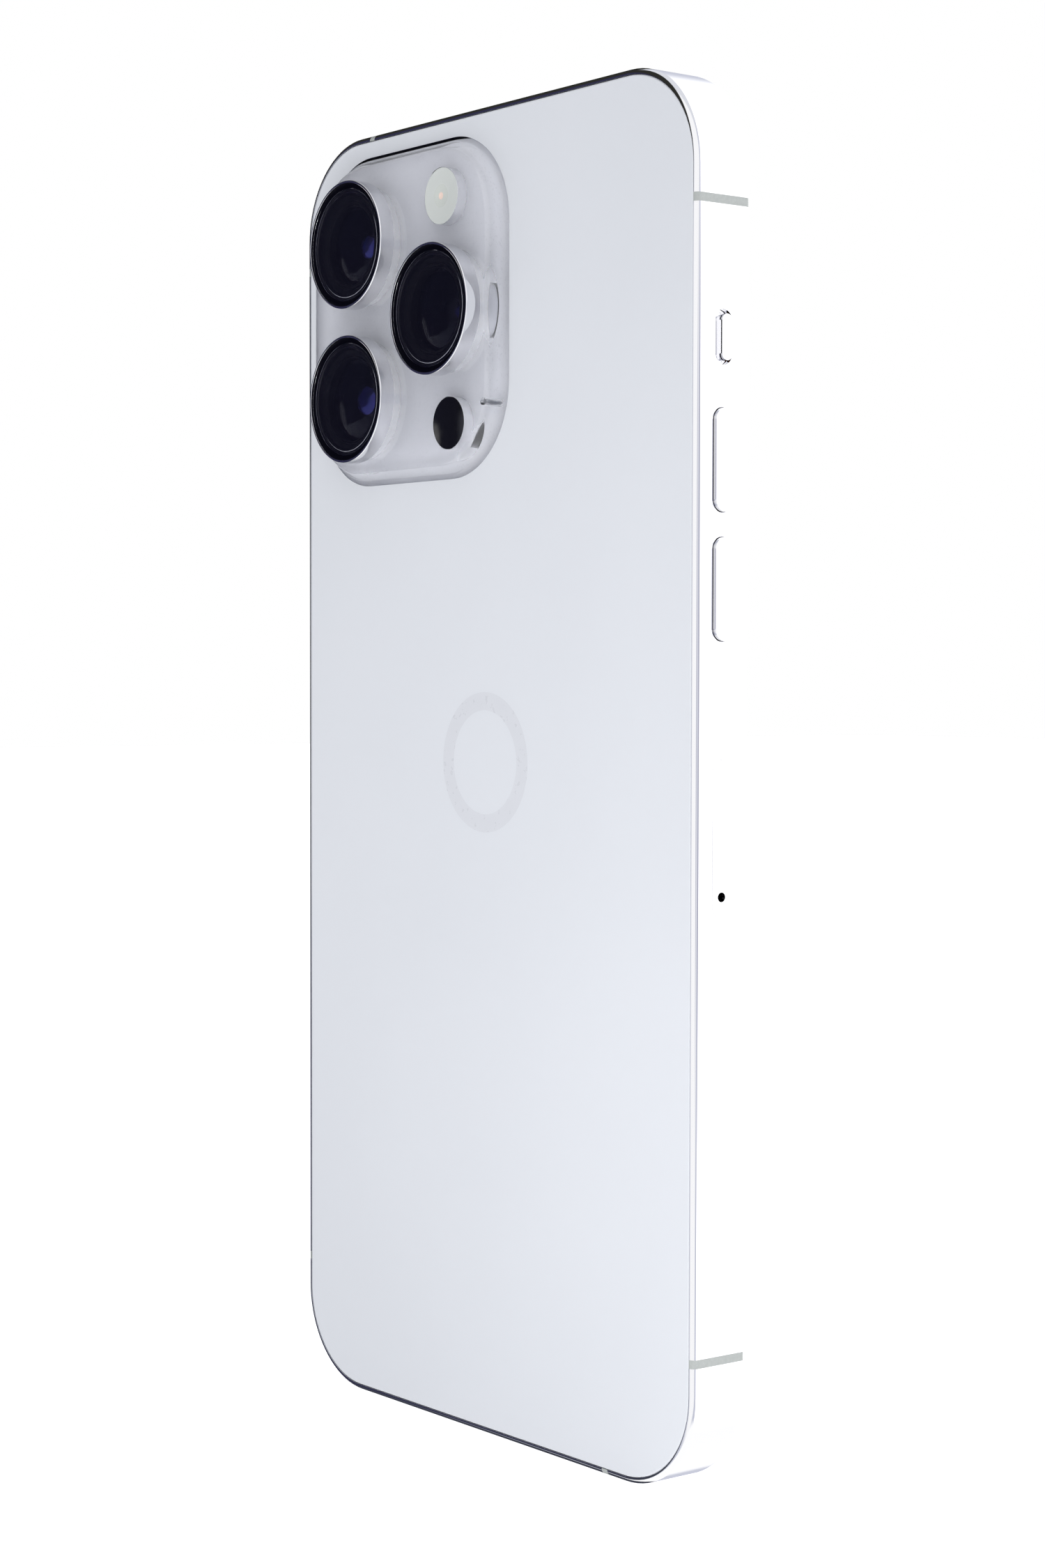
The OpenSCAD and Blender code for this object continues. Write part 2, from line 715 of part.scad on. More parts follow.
module depth_window() {
    color(black) phone() disc(lidar, lidar_d, -back_glass_t, plateau_rise);
}

module depth_sensor() {
    color([0.1, 0.1, 0.1]) phone()
        layer(glue_d + glass_fit, depth_unit_d)
            block([lidar[0] - depth_unit_w / 2, camera_low_y],
                  [lidar[0] + depth_unit_w / 2, wide[1] - housing_w / 2 - part_gap]);
}

module rear_mic() {
    color(black) phone() {
        disc(rear_mic_at, rear_mic_unit_d, -glue_d - 0.35, -back_glass_t - 0.02);
        disc(rear_mic_at, rear_mic_d - 0.1, -back_glass_t - 0.02 - eps, plateau_rise - 0.4);
    }
}

// ---- Front ----

module front_glass() {
    color([0.02, 0.02, 0.025]) phone() difference() {
        layer(front_glass_d, body_t) outline(edge_r + glass_gap);
        layer(front_glass_d - past, body_t + past) earpiece_slot(0);
    }
}

// Slot in the top edge of the front glass
module earpiece_slot(shrink) {
    top = end_y - edge_r - glass_gap;
    block([-slot_w / 2 + shrink, top - slot_h + shrink], [slot_w / 2 - shrink, top + past - shrink]);
}

module front_gasket() {
    color(black) phone()
        outline_ring(edge_r + glass_gap + gasket_in, band_wall - gasket_in, front_glass_d - glue_t, front_glass_d);
}

module island(grow) {
    translate([0, island_y]) rounded(island_w + 2 * grow, island_h + 2 * grow, island_h / 2 + grow - eps);
}

module display_panel() {
    color([0.01, 0.01, 0.015]) phone() layer(panel_d, front_glass_d) difference() {
        outline(band_wall + part_gap);
        island(0);
    }
}

module display_plate() {
    color([0.3, 0.3, 0.31]) phone() layer(panel_plate_d, panel_d) difference() {
        outline(band_wall + part_gap + plate_in);
        island(plate_in / 2);
    }
}

module front_sensors() {
    color([0.06, 0.06, 0.07]) phone() {
        layer(front_unit_d, room_d) translate([0, island_y]) rounded(island_w, island_h + 2 * front_unit_up, front_unit_r);
        for (eye = front_eyes)
            disc([eye[0], island_y], eye[1], -front_glass_d + 0.1, -room_d + eps);
    }
}

module earpiece() {
    color([0.15, 0.15, 0.16]) phone() layer(front_unit_d, room_d)
        block([-slot_w / 2 - earpiece_side, island_y + island_h / 2 + front_unit_up + part_gap],
              [slot_w / 2 + earpiece_side, cavity_y - part_gap]);
}

module earpiece_mesh() {
    color([0.1, 0.1, 0.1]) phone() layer(front_glass_d + 0.05, body_t - 0.15)
        block([-slot_w / 2 + 0.05, end_y - edge_r - glass_gap - slot_h + 0.05],
              [slot_w / 2 - 0.05, end_y - edge_r - 0.02]);
}

// ---- Battery, board and coil ----

module battery() {
    color([0.08, 0.08, 0.09]) phone() layer(battery_d, room_d - part_gap) {
        block([battery_left, battery_low], [battery_right, battery_high]);
        block([battery_left, battery_low], [unit_x, foot_high]);
    }
}

module battery_flex() {
    color(ribbon) phone() layer(room_d - part_gap + battery_flex_gap, room_d - battery_flex_gap * 2)
        block([battery_right - battery_flex_half, board_low_y + battery_flex_up],
              [board_x + battery_flex_half, board_low_y + battery_flex_up + battery_flex_w]);
}

module logic_board() {
    color(board_blue) phone() layer(board_d, board_d + board_t) difference() {
        intersection() {
            translate([(board_x + unit_x) / 2, (board_low_y + board_high_y) / 2])
                rounded(board_w, board_high_y - board_low_y, board_r);
            outline(band_wall + part_gap);
        }
        for (at = board_screw_at) translate(at) circle(d = board_screw_d + board_screw_fit);
    }
}

// Cans in a row share the length of the board
module cans(d0, d1) {
    step = (board_high_y - board_low_y - 2 * can_end_room) / can_rows;
    for (i = [0 : can_rows - 1]) layer(d0, d1)
        translate([(board_x + unit_x) / 2, board_low_y + can_end_room + (i + 0.5) * step])
            rounded(board_w - 2 * can_side_room, step - can_space, can_r);
}

module front_cans() {
    color(tin) phone() cans(board_d + board_t, min(board_d + board_t + can_t, camera_d));
}

module rear_cans() {
    color(tin) phone() cans(board_d - can_t, board_d);
}

module board_screws() {
    color(steel) phone() for (at = board_screw_at) {
        disc(at, 2 * board_screw_d, -board_d - board_t - board_screw_head_t, -board_d - board_t);
        disc(at, board_screw_d, -board_d - board_t - eps, -battery_d);
    }
}

module charging_coil() {
    color([0.72, 0.42, 0.22]) phone() layer(coil_back_d, coil_back_d + winding_t) translate([0, coil_y])
        difference() {
            circle(d = winding_outer_d);
            circle(d = winding_inner_d);
        }
}

module coil_shield() {
    color([0.2, 0.2, 0.21]) phone() layer(shield_d, shield_d + shield_t) translate([0, coil_y])
        circle(d = winding_outer_d + 2);
}

module magnet_ring() {
    turn = 360 / magnet_count;
    color([0.62, 0.62, 0.64]) phone() translate([0, coil_y, -magnet_d]) for (i = [0 : magnet_count - 1])
        rotate([0, 0, i * turn]) rotate_extrude(angle = turn - magnet_turn_gap)
            translate([magnet_inner_d / 2, 0])
                square([(magnet_outer_d - magnet_inner_d) / 2, magnet_d - coil_back_d]);
}

module alignment_magnet() {
    color([0.62, 0.62, 0.64]) phone() layer(coil_back_d, magnet_d) translate([0, align_y])
        rounded(align_w, align_h, align_r);
}

// ---- Bottom strip ----

module speaker_box() {
    color([0.13, 0.13, 0.14]) phone() difference() {
        layer(plate_d + part_gap, room_d - 0.2) intersection() {
            block([-unit_x, strip_low_y + 1.2], [-strip_in_x, strip_top_y - part_gap]);
            outline(band_wall + part_gap);
        }
        sound_row(-1, speaker_holes) translate([0, strip_low_y, 0]) rotate([-90, 0, 0])
            cylinder(d = spout_d, h = spout_deep);
    }
}

module speaker_mesh() {
    color([0.2, 0.2, 0.2]) phone()
        for (row = [[-1, speaker_holes], [1, mic_holes]])
            along_y(-cavity_y + glass_fit, -cavity_y + glass_fit + mesh_t)
                translate([row[0] * (sound_start + (row[1] - 1) * sound_pitch / 2), mid_z])
                    square([(row[1] - 1) * sound_pitch + sound_hole_d + 2 * mesh_overlap, sound_hole_d + 2 * mesh_overlap],
                           center = true);
}

module motor_case() {
    color(tin) phone() difference() {
        layer(motor_d0, motor_d1) block([motor_x0, motor_y0], [motor_x1, motor_y1]);
        layer(motor_d0 + motor_wall, motor_d1 - motor_wall)
            block([motor_x0 + motor_wall, motor_y0 + motor_wall], [motor_x1 - motor_wall, motor_y1 - motor_wall]);
    }
}

module vibration_mass() {
    slack = motor_wall + mass_gap;
    end_slack = slack + vibration_travel;
    color([0.45, 0.45, 0.47]) phone() layer(motor_d0 + slack, motor_d1 - slack)
        block([motor_x0 + end_slack, motor_y0 + slack], [motor_x1 - end_slack, motor_y1 - slack]);
}

module charge_port() {
    color([0.35, 0.35, 0.36]) phone() difference() {
        along_y(-cavity_y, -end_y + port_depth + connector_wall) port_profile(connector_wall);
        along_y(-cavity_y - 1, -end_y + port_depth) port_profile(0);
    }
}

// Contacts side by side along one wall of the port
module port_contacts() {
    pitch = (port_w - port_h) / contact_count;
    color(gold) phone() for (i = [0 : contact_count - 1])
        translate([(i - (contact_count - 1 + contact_share) / 2) * pitch, -end_y + port_depth - contact_len,
                   mid_z - port_h / 2])
            cube([pitch * contact_share, contact_len, contact_t]);
}

module port_flex() {
    color(ribbon) phone() layer(room_d - port_flex_t, room_d) {
        block([-port_w / 2, -end_y + port_depth - port_flex_back], [port_w / 2, strip_top_y + port_flex_back]);
        block([-port_w / 2, strip_top_y - port_flex_back / 2], [unit_x - motor_high_room, strip_top_y + port_flex_back]);
    }
}

module bottom_mic() {
    color(gold) phone() layer(motor_d0 + mic_unit_in, motor_d1 - mic_unit_in)
        block([sound_start + sound_pitch - mic_unit[0], strip_low_y + glass_fit],
              [sound_start + sound_pitch + mic_unit[1], motor_y0 - part_gap]);
}

module bottom_screws() {
    color(steel) phone() for (sx = [-1, 1]) translate([sx * screw_x, -end_y, mid_z]) rotate([-90, 0, 0])
        difference() {
            union() {
                translate([0, 0, screw_sink]) cylinder(d = screw_head_d, h = band_wall - screw_seat_t - screw_sink);
                translate([0, 0, screw_sink]) cylinder(d = screw_shank_d, h = band_wall + screw_reach - screw_sink);
            }
            cylinder(d = screw_socket_d, h = screw_sink + screw_socket_deep, $fn = 5);
        }
}

// ---- Buttons and switch ----

// A button cap with the flange that keeps it in the band
module button(y, len) {
    along_x(flange_x - eps, side_x + button_proud) translate([y, mid_z])
        rounded(len, button_w, button_w / 2 - eps);
    along_x(flange_in_x, flange_x) translate([y, mid_z])
        rounded(len + flange_reach, button_w + flange_lip, (button_w + flange_lip) / 2 - flange_flat);
}

// Plate with one dome for each button in front of it
module switch_plate(y0, y1, domes) {
    color(gold) phone() {
        along_x(switch_plate_x - switch_plate_t, switch_plate_x - dome_h + eps)
            block([y0, mid_z - switch_plate_w / 2], [y1, mid_z + switch_plate_w / 2]);
        for (y = domes) translate([switch_plate_x - dome_h, y, mid_z]) rotate([0, 90, 0])
            cylinder(d = dome_d, h = dome_h);
    }
}

module volume_up() {
    color(steel) phone() button(volume_up_y, volume_len);
}

module volume_down() {
    color(steel) phone() button(volume_down_y, volume_len);
}

module side_button() {
    color(steel) phone() mirror([1, 0, 0]) button(side_button_y, side_len);
}

module volume_flex() {
    switch_plate(volume_down_y - volume_len / 2, switch_y + switch_slot_len / 2, [volume_up_y, volume_down_y]);
}

module side_flex() {
    mirror([1, 0, 0]) switch_plate(side_button_y - side_len / 2, side_button_y + side_len / 2, [side_button_y]);
}

// Cap and flange of the slider, with the pin that reaches back to the switch plate
module ring_switch() {
    color(steel) phone() {
        along_x(slider_x - eps, side_x + switch_proud) translate([switch_y, switch_cap_z])
            rounded(switch_cap_len, switch_cap_w, switch_cap_w / 2 - eps);
        along_x(slider_x - flange_t, slider_x) translate([switch_y, switch_cap_z])
            rounded(slider_len, slider_w, slider_r);
        along_x(flange_in_x, slider_x - flange_t + eps)
            translate([switch_y, switch_cap_z]) square([switch_pin_len, switch_pin_w], center = true);
    }
}

// ---- Card tray ----

module sim_tray() {
    color(steel) phone() difference() {
        union() {
            along_x(side_x - tray_face_t, side_x) translate([tray_y, mid_z])
                rounded(tray_len, tray_w, tray_w / 2 - eps);
            along_x(tray_in_x, side_x - tray_face_t + eps)
                block([tray_low_y, mid_z - tray_plate_t / 2], [tray_high_y, mid_z + tray_plate_t / 2]);
        }
        translate([card_x, card_y, mid_z - tray_plate_t / 2 + card_floor_t]) linear_extrude(tray_plate_t)
            square([card_w, card_h] + [1, 1] * card_gap, center = true);
        translate([side_x - tray_face_t - past, pin_y, mid_z]) rotate([0, 90, 0])
            cylinder(d = pin_hole_d, h = tray_face_t + 2 * past);
    }
}

module sim_card() {
    color([0.93, 0.93, 0.9]) phone() translate([card_x, card_y, mid_z - tray_plate_t / 2 + card_floor_t])
        linear_extrude(card_t) square([card_w, card_h], center = true);
}

module sim_reader() {
    wall = reader_wall;
    half = tray_plate_t / 2 + reader_gap;
    low = tray_low_y - reader_gap;
    high = tray_high_y + reader_gap;
    color(tin) phone() difference() {
        along_x(reader_in_x - wall, cavity_x - part_gap)
            block([low - wall, mid_z - half - wall], [high + wall, mid_z + half + wall]);
        along_x(reader_in_x, cavity_x + 1) block([low, mid_z - half], [high, mid_z + half]);
    }
}

module eject_plunger() {
    color(tin) phone() translate([plunger_x, pin_y, mid_z]) rotate([0, 90, 0])
        cylinder(d = plunger_d, h = cavity_x - 0.2 - plunger_x);
}

module eject_lever() {
    color(tin) phone() difference() {
        translate([lever_x, 0, mid_z - lever_t / 2]) linear_extrude(lever_t) {
            block([-lever_w / 2, pin_y - lever_w / 2], [lever_w / 2, pivot_y + lever_arm]);
            translate([0, pivot_y]) circle(d = hub_d);
        }
        disc([lever_x, pivot_y], pivot_d, mid_z - past, mid_z + past);
    }
}

steel_band();
antenna_breaks();
mid_plate();
back_glass();
back_glue();
back_emblem();
lens_ring(tele);  // ring_tele
lens_ring(main);  // ring_main
lens_ring(wide);  // ring_wide
lens_cover(tele);  // cover_tele
lens_cover(main);  // cover_main
lens_cover(wide);  // cover_wide
camera_housing(tele);  // housing_tele
camera_housing(main);  // housing_main
camera_housing(wide);  // housing_wide
focus_barrel(tele);  // barrel_tele
focus_barrel(main);  // barrel_main
focus_barrel(wide);  // barrel_wide
flash_window();
flash_board();
depth_window();
depth_sensor();
rear_mic();
front_glass();
front_gasket();
display_panel();
display_plate();
front_sensors();
earpiece();
earpiece_mesh();
battery();
battery_flex();
logic_board();
front_cans();
rear_cans();
board_screws();
charging_coil();
coil_shield();
magnet_ring();
alignment_magnet();
speaker_box();
speaker_mesh();
motor_case();
vibration_mass();
charge_port();
port_contacts();
port_flex();
bottom_mic();
bottom_screws();
side_button();
side_flex();
volume_up();
volume_down();
ring_switch();
volume_flex();
sim_tray();
sim_card();
sim_reader();
eject_plunger();
eject_lever();
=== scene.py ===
# %% [markdown]
# # A large smartphone, seen from behind
# The mechanical model arrives finished: every part has its real size and place, and nothing here
# moves one. This lesson gives the phone its looks. Hidden parts keep their mesh and get a better
# finish. What the eye meets, such as the steel band, the clear camera plateau and the lenses, is
# modelled again with smooth edges and stands in for the plain part.

# %% Load the phone
import math

import bmesh
import bpy
from mathutils import Matrix, Vector


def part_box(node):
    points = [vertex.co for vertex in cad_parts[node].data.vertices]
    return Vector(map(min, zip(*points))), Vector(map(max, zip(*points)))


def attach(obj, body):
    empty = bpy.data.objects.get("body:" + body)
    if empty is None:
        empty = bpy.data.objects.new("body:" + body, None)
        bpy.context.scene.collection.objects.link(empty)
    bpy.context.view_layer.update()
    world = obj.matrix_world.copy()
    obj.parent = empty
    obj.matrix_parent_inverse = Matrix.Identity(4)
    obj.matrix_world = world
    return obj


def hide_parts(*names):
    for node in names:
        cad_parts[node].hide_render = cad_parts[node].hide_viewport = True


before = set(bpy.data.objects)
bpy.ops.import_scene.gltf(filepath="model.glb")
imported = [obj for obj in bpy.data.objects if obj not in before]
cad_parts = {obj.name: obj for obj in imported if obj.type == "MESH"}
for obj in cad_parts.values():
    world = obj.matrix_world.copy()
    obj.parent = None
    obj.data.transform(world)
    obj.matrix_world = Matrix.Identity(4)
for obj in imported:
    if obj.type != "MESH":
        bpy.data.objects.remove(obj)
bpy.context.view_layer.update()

# %% [markdown]
# ## Where things are
# Blender works in metres, so small sizes are written in millimetres and multiplied by `MM`. The
# phone stands on its bottom edge with its back towards -Y. Four small matrices turn "drawn flat,
# facing me" into "on the back", "on the side with the volume keys", "on the bottom" and so on.
# Drawing flat keeps every shape easy to read.

# %% Measures and faces
MM = 0.001
band_low, band_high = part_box("steel_band")
WIDTH = band_high.x - band_low.x
HEIGHT = band_high.z - band_low.z
BACK, FRONT = band_low.y, band_high.y
THICK = FRONT - BACK
MIDDLE = (BACK + FRONT) / 2
CORNER_R = 12 * MM
EDGE_R = 0.7 * MM
WALL = 2.2 * MM

FACING = {
    "back": Matrix(((1, 0, 0, 0), (0, 0, -1, 0), (0, 1, 0, 0), (0, 0, 0, 1))),
    "front": Matrix(((-1, 0, 0, 0), (0, 0, 1, 0), (0, 1, 0, 0), (0, 0, 0, 1))),
    "right": Matrix(((0, 0, 1, 0), (1, 0, 0, 0), (0, 1, 0, 0), (0, 0, 0, 1))),
    "left": Matrix(((0, 0, -1, 0), (-1, 0, 0, 0), (0, 1, 0, 0), (0, 0, 0, 1))),
    "bottom": Matrix(((1, 0, 0, 0), (0, -1, 0, 0), (0, 0, -1, 0), (0, 0, 0, 1))),
}


def put(face, x=0.0, y=0.0, z=0.0):
    """Turns a shape drawn flat towards one face of the phone and carries it to a place."""
    return Matrix.Translation((x, y, z)) @ FACING[face]


def middle(node):
    """Middle of a part's box."""
    low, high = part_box(node)
    return (low + high) / 2


def extent(node):
    """Size of a part's box."""
    low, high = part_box(node)
    return high - low


ON_BACK = put("back", 0, BACK, HEIGHT / 2)
print("body in mm:", round(WIDTH / MM, 2), round(HEIGHT / MM, 2), round(THICK / MM, 2))

# %% [markdown]
# ## Camera
# The view is upright, two units wide and three high. The camera stands behind the phone on the
# side of the volume keys, a little over half-way up, and looks slightly down. A camera needs a
# place and a direction; the direction is easiest to give as a point that it looks at.

# %% Camera
CAMERA_AT = Vector((278.68, -210.56, 92.31)) * MM
LOOKS_AT = Vector((0, 3.96, 79.15)) * MM
ROLL = math.radians(0.1)

camera = bpy.data.objects.new("camera", bpy.data.cameras.new("camera"))
camera.data.sensor_width = 36
camera.data.lens = 66.09
camera.data.clip_start = 0.01
camera.location = CAMERA_AT
turned = (LOOKS_AT - CAMERA_AT).to_track_quat("-Z", "Y").to_matrix() @ Matrix.Rotation(ROLL, 3, "Z")
camera.rotation_euler = turned.to_euler()
bpy.context.scene.collection.objects.link(camera)
bpy.context.scene.camera = camera
print("camera to phone in mm:", round((LOOKS_AT - CAMERA_AT).length / MM))

# %% [markdown]
# ## Light
# Polished steel has no colour of its own: it shows the room. A product studio is therefore built
# round the phone: white panels where an edge should shine and black card where it should read as a
# thin dark line. Here the room is the world's shader. A panel is a direction and a
# width, and its brightness falls off softly at the rim, which is how a real soft box looks in steel.
# The camera itself sees plain white behind the phone, and so does light that has passed through one
# block of glass, since a real backdrop would shine through the clear camera block as well.

# %% Room of panels
world = bpy.data.worlds.new("studio")
world.use_nodes = True
bpy.context.scene.world = world
room = world.node_tree
room.nodes.clear()
bpy.context.scene.view_settings.view_transform = "Standard"


def room_node(kind, **settings):
    made = room.nodes.new(kind)
    for key, value in settings.items():
        setattr(made, key, value)
    return made


ray = room_node("ShaderNodeTexCoord").outputs["Generated"]


def panel(under, azimuth, elevation, width, rim, colour, strength=1.0):
    """Lays a soft round panel over the room. Azimuth 0 is behind the phone's back, 90 its right side;
    width and rim are angles from the panel's middle."""
    turn_by, up_by = math.radians(azimuth), math.radians(elevation)
    direction = (math.sin(turn_by) * math.cos(up_by), -math.cos(turn_by) * math.cos(up_by), math.sin(up_by))
    facing = room_node("ShaderNodeVectorMath", operation="DOT_PRODUCT")
    facing.inputs[1].default_value = direction
    room.links.new(ray, facing.inputs[0])
    fall = room_node("ShaderNodeMapRange", interpolation_type="SMOOTHSTEP")
    fall.inputs["From Min"].default_value = math.cos(math.radians(width + rim))
    fall.inputs["From Max"].default_value = math.cos(math.radians(width))
    room.links.new(facing.outputs["Value"], fall.inputs["Value"])
    mix = room_node("ShaderNodeMix", data_type="RGBA")
    room.links.new(fall.outputs["Result"], mix.inputs["Factor"])
    if hasattr(under, "is_output"):
        room.links.new(under, mix.inputs["A"])
    else:
        mix.inputs["A"].default_value = (*under, 1)
    mix.inputs["B"].default_value = (*[strength * c for c in colour], 1)
    return mix.outputs["Result"]


WALL_LIGHT = (0.64, 0.66, 0.76)
BRIGHT, NAVY, OLIVE, SLATE = (1, 1, 1), (0.035, 0.035, 0.075), (0.030, 0.030, 0.026), (0.055, 0.06, 0.08)
light = panel(WALL_LIGHT, 0, 90, 25, 40, (0.93, 0.95, 1.0), 0.9)
light = panel(light, 18, 8, 42, 14, BRIGHT, 1.12)
light = panel(light, 155, 2, 60, 12, BRIGHT, 1.7)
light = panel(light, 0, -90, 48, 10, BRIGHT, 1.2)
light = panel(light, 95, 0, 7, 5, (0.46, 0.46, 0.56))
light = panel(light, 53, 0, 5, 5, (0.62, 0.62, 0.72))
light = panel(light, -100, -32, 24, 5, SLATE)
light = panel(light, -52, -22, 12, 5, SLATE)
light = panel(light, -50, 35, 25, 5, OLIVE)
light = panel(light, -75, 0, 31, 4, NAVY)
light = panel(light, -100, 22, 27, 4, OLIVE)
light = panel(light, -68, 0, 4, 2, BRIGHT)

backdrop = room_node("ShaderNodeBackground")
backdrop.inputs["Color"].default_value = (1, 1, 1, 1)
studio = room_node("ShaderNodeBackground")
room.links.new(light, studio.inputs["Color"])
path = room_node("ShaderNodeLightPath")
either = room_node("ShaderNodeMixShader")
short_way = room_node("ShaderNodeMath", operation="LESS_THAN")
room.links.new(path.outputs["Transmission Depth"], short_way.inputs[0])
short_way.inputs[1].default_value = 2.5
straight = room_node("ShaderNodeMath", operation="MULTIPLY")
room.links.new(path.outputs["Is Transmission Ray"], straight.inputs[0])
room.links.new(short_way.outputs["Value"], straight.inputs[1])
no_mirror = room_node("ShaderNodeMath", operation="LESS_THAN")
room.links.new(path.outputs["Glossy Depth"], no_mirror.inputs[0])
no_mirror.inputs[1].default_value = 0.5
unturned = room_node("ShaderNodeMath", operation="MULTIPLY")
room.links.new(straight.outputs["Value"], unturned.inputs[0])
room.links.new(no_mirror.outputs["Value"], unturned.inputs[1])
seen = room_node("ShaderNodeMath", operation="MAXIMUM")
room.links.new(path.outputs["Is Camera Ray"], seen.inputs[0])
room.links.new(unturned.outputs["Value"], seen.inputs[1])
room.links.new(seen.outputs["Value"], either.inputs["Fac"])
room.links.new(studio.outputs["Background"], either.inputs[1])
room.links.new(backdrop.outputs["Background"], either.inputs[2])
room.links.new(either.outputs["Shader"], room_node("ShaderNodeOutputWorld").inputs["Surface"])
print("room nodes:", len(room.nodes))

# %% [markdown]
# The phone stands on a lit white table, a sheet of opal acrylic with lamps under it. It glows, so
# it stays white up to the phone's edge and only a breath of shadow is left where the two meet.
# Two broad area lamps add the soft shading that a dome of light alone would wash out.

# %% Table and lamps
table = bmesh.new()
bmesh.ops.create_grid(table, x_segments=1, y_segments=1, size=3.0)
bmesh.ops.translate(table, verts=table.verts, vec=(0, 0, -0.02 * MM))
table_mesh = bpy.data.meshes.new("table")
table.to_mesh(table_mesh)
table_top = bpy.data.objects.new("table", table_mesh)
bpy.context.scene.collection.objects.link(table_top)
opal = bpy.data.materials.new("opal_acrylic")
opal.use_nodes = True
opal_shader = opal.node_tree.nodes["Principled BSDF"]
opal_shader.inputs["Base Color"].default_value = (0.6, 0.6, 0.62, 1)
opal_shader.inputs["Roughness"].default_value = 0.6
opal_shader.inputs["Emission Color"].default_value = (1, 1, 1, 1)
opal_shader.inputs["Emission Strength"].default_value = 0.72
table_mesh.materials.append(opal)
table_top.visible_glossy = False


def lamp(name, at, aim, size, power):
    """Square area lamp that shines at a point and stays out of the camera's sight."""
    made = bpy.data.objects.new(name, bpy.data.lights.new(name, "AREA"))
    made.data.shape = "SQUARE"
    made.data.size = size
    made.data.energy = power
    made.location = at
    made.rotation_euler = (Vector(aim) - Vector(at)).to_track_quat("-Z", "Y").to_euler()
    made.visible_camera = False
    made.visible_glossy = False
    bpy.context.scene.collection.objects.link(made)
    return made


lamps = [
    lamp("low_lamp", (0.09, -0.13, 0.02), (0, 0, 0.02), 0.06, 0.075),
    lamp("screen_lamp", (-0.4, 1.1, 0.6), (0, 0, 0.08), 0.8, 2),
]
print("lamps:", [l.name for l in lamps])

# %% [markdown]
# ## Tools for modelling
# Nearly everything on a phone is one of two forms: a stack of rounded rectangles, or a profile
# turned on a lathe. `loft` makes the first. Four corner points become a face, a vertex bevel rounds
# its corners, and each ring is bridged to the next. `turn` makes the second by spinning a profile.
# `soften` bevels the sharp edges that are left, since no real edge is perfectly sharp, and `carve`
# takes one shape out of another with a Boolean modifier.

# %% Loft, turn and soften
CORNERS = ((-1, -1), (1, -1), (1, 1), (-1, 1))
PILL = 0.4995
APART = 0.05


def loft(rings, steps=16, closed=False):
    """Skins a stack of rounded rectangles (width, height, radius, z, and a middle x, y if it isn't 0, 0).

    The rings are bridged while they stand well apart, then lowered to their own heights, so rings
    that share a height are joined the right way round. Returns the mesh and each ring's edges."""
    bm = bmesh.new()
    loops = []
    for index, (width, height, radius, _, *shift) in enumerate(rings):
        at_x, at_y = shift or (0, 0)
        old_edges, old_faces = set(bm.edges), set(bm.faces)
        corners = [bm.verts.new((at_x + sx * width / 2, at_y + sy * height / 2, index * APART))
                   for sx, sy in CORNERS]
        bm.faces.new(corners)
        bmesh.ops.bevel(bm, geom=corners, offset=radius, offset_type="OFFSET", affect="VERTICES",
                        segments=steps, profile=0.5, material=-1)
        loops.append([e for e in bm.edges if e not in old_edges])
        if closed or 0 < index < len(rings) - 1:
            lids = [f for f in bm.faces if f not in old_faces]
            bmesh.ops.delete(bm, geom=lids, context="FACES_ONLY")
    pairs = list(zip(loops, loops[1:] + loops[:1])) if closed else list(zip(loops, loops[1:]))
    for lower, upper in pairs:
        bmesh.ops.bridge_loops(bm, edges=lower + upper)
    for vert in bm.verts:
        vert.co.z = rings[round(vert.co.z / APART)][3]
    bmesh.ops.recalc_face_normals(bm, faces=bm.faces)
    return bm, loops


def turn(profile, steps=96, at=(0, 0), bm=None):
    """Spins a profile of (radius, z) points once round an upright axis through a point."""
    bm = bm or bmesh.new()
    points = [bm.verts.new((at[0] + radius, at[1], z)) for radius, z in profile]
    ends = points[1:] + points[:1] if profile[0][0] > 0 or profile[-1][0] > 0 else points[1:]
    line = [bm.edges.new(pair) for pair in zip(points, ends)]
    bmesh.ops.spin(bm, geom=points + line, cent=(*at, 0), axis=(0, 0, 1), angle=math.tau,
                   steps=steps, use_merge=True, use_duplicate=False)
    bmesh.ops.remove_doubles(bm, verts=bm.verts, dist=1e-7)
    bmesh.ops.recalc_face_normals(bm, faces=bm.faces)
    return bm


def round_off(bm, edges, radius, steps=4):
    """Rounds chosen edges."""
    bmesh.ops.bevel(bm, geom=edges, offset=radius, offset_type="OFFSET", affect="EDGES",
                    segments=steps, profile=0.5, material=-1, clamp_overlap=True)
    return bm


def rim_at(bm, z):
    """Edges at a height that turn by a right angle or nearly."""
    return [e for e in bm.edges if e.calc_face_angle(0) > 1 and all(abs(v.co.z - z) < 1e-7 for v in e.verts)]


def soften(bm, radius, steps=3, sharper=40):
    """Rounds every edge that turns by more than an angle."""
    sharp = [e for e in bm.edges if len(e.link_faces) == 2 and e.calc_face_angle() > math.radians(sharper)]
    return round_off(bm, sharp, radius, steps)


# %% Make a piece and carve it
def piece(name, bm, finishes, body="phone", place=None, sharp=35):
    """Makes an object of a mesh: carried to its place, smooth where it is round, riding on its body."""
    if place is not None:
        bmesh.ops.transform(bm, matrix=place, verts=bm.verts)
    mesh = bpy.data.meshes.new(name)
    bm.to_mesh(mesh)
    bm.free()
    for finish_used in finishes:
        mesh.materials.append(finish_used)
    made = bpy.data.objects.new(name, mesh)
    bpy.context.scene.collection.objects.link(made)
    shade(made, sharp)
    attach(made, body)
    return made


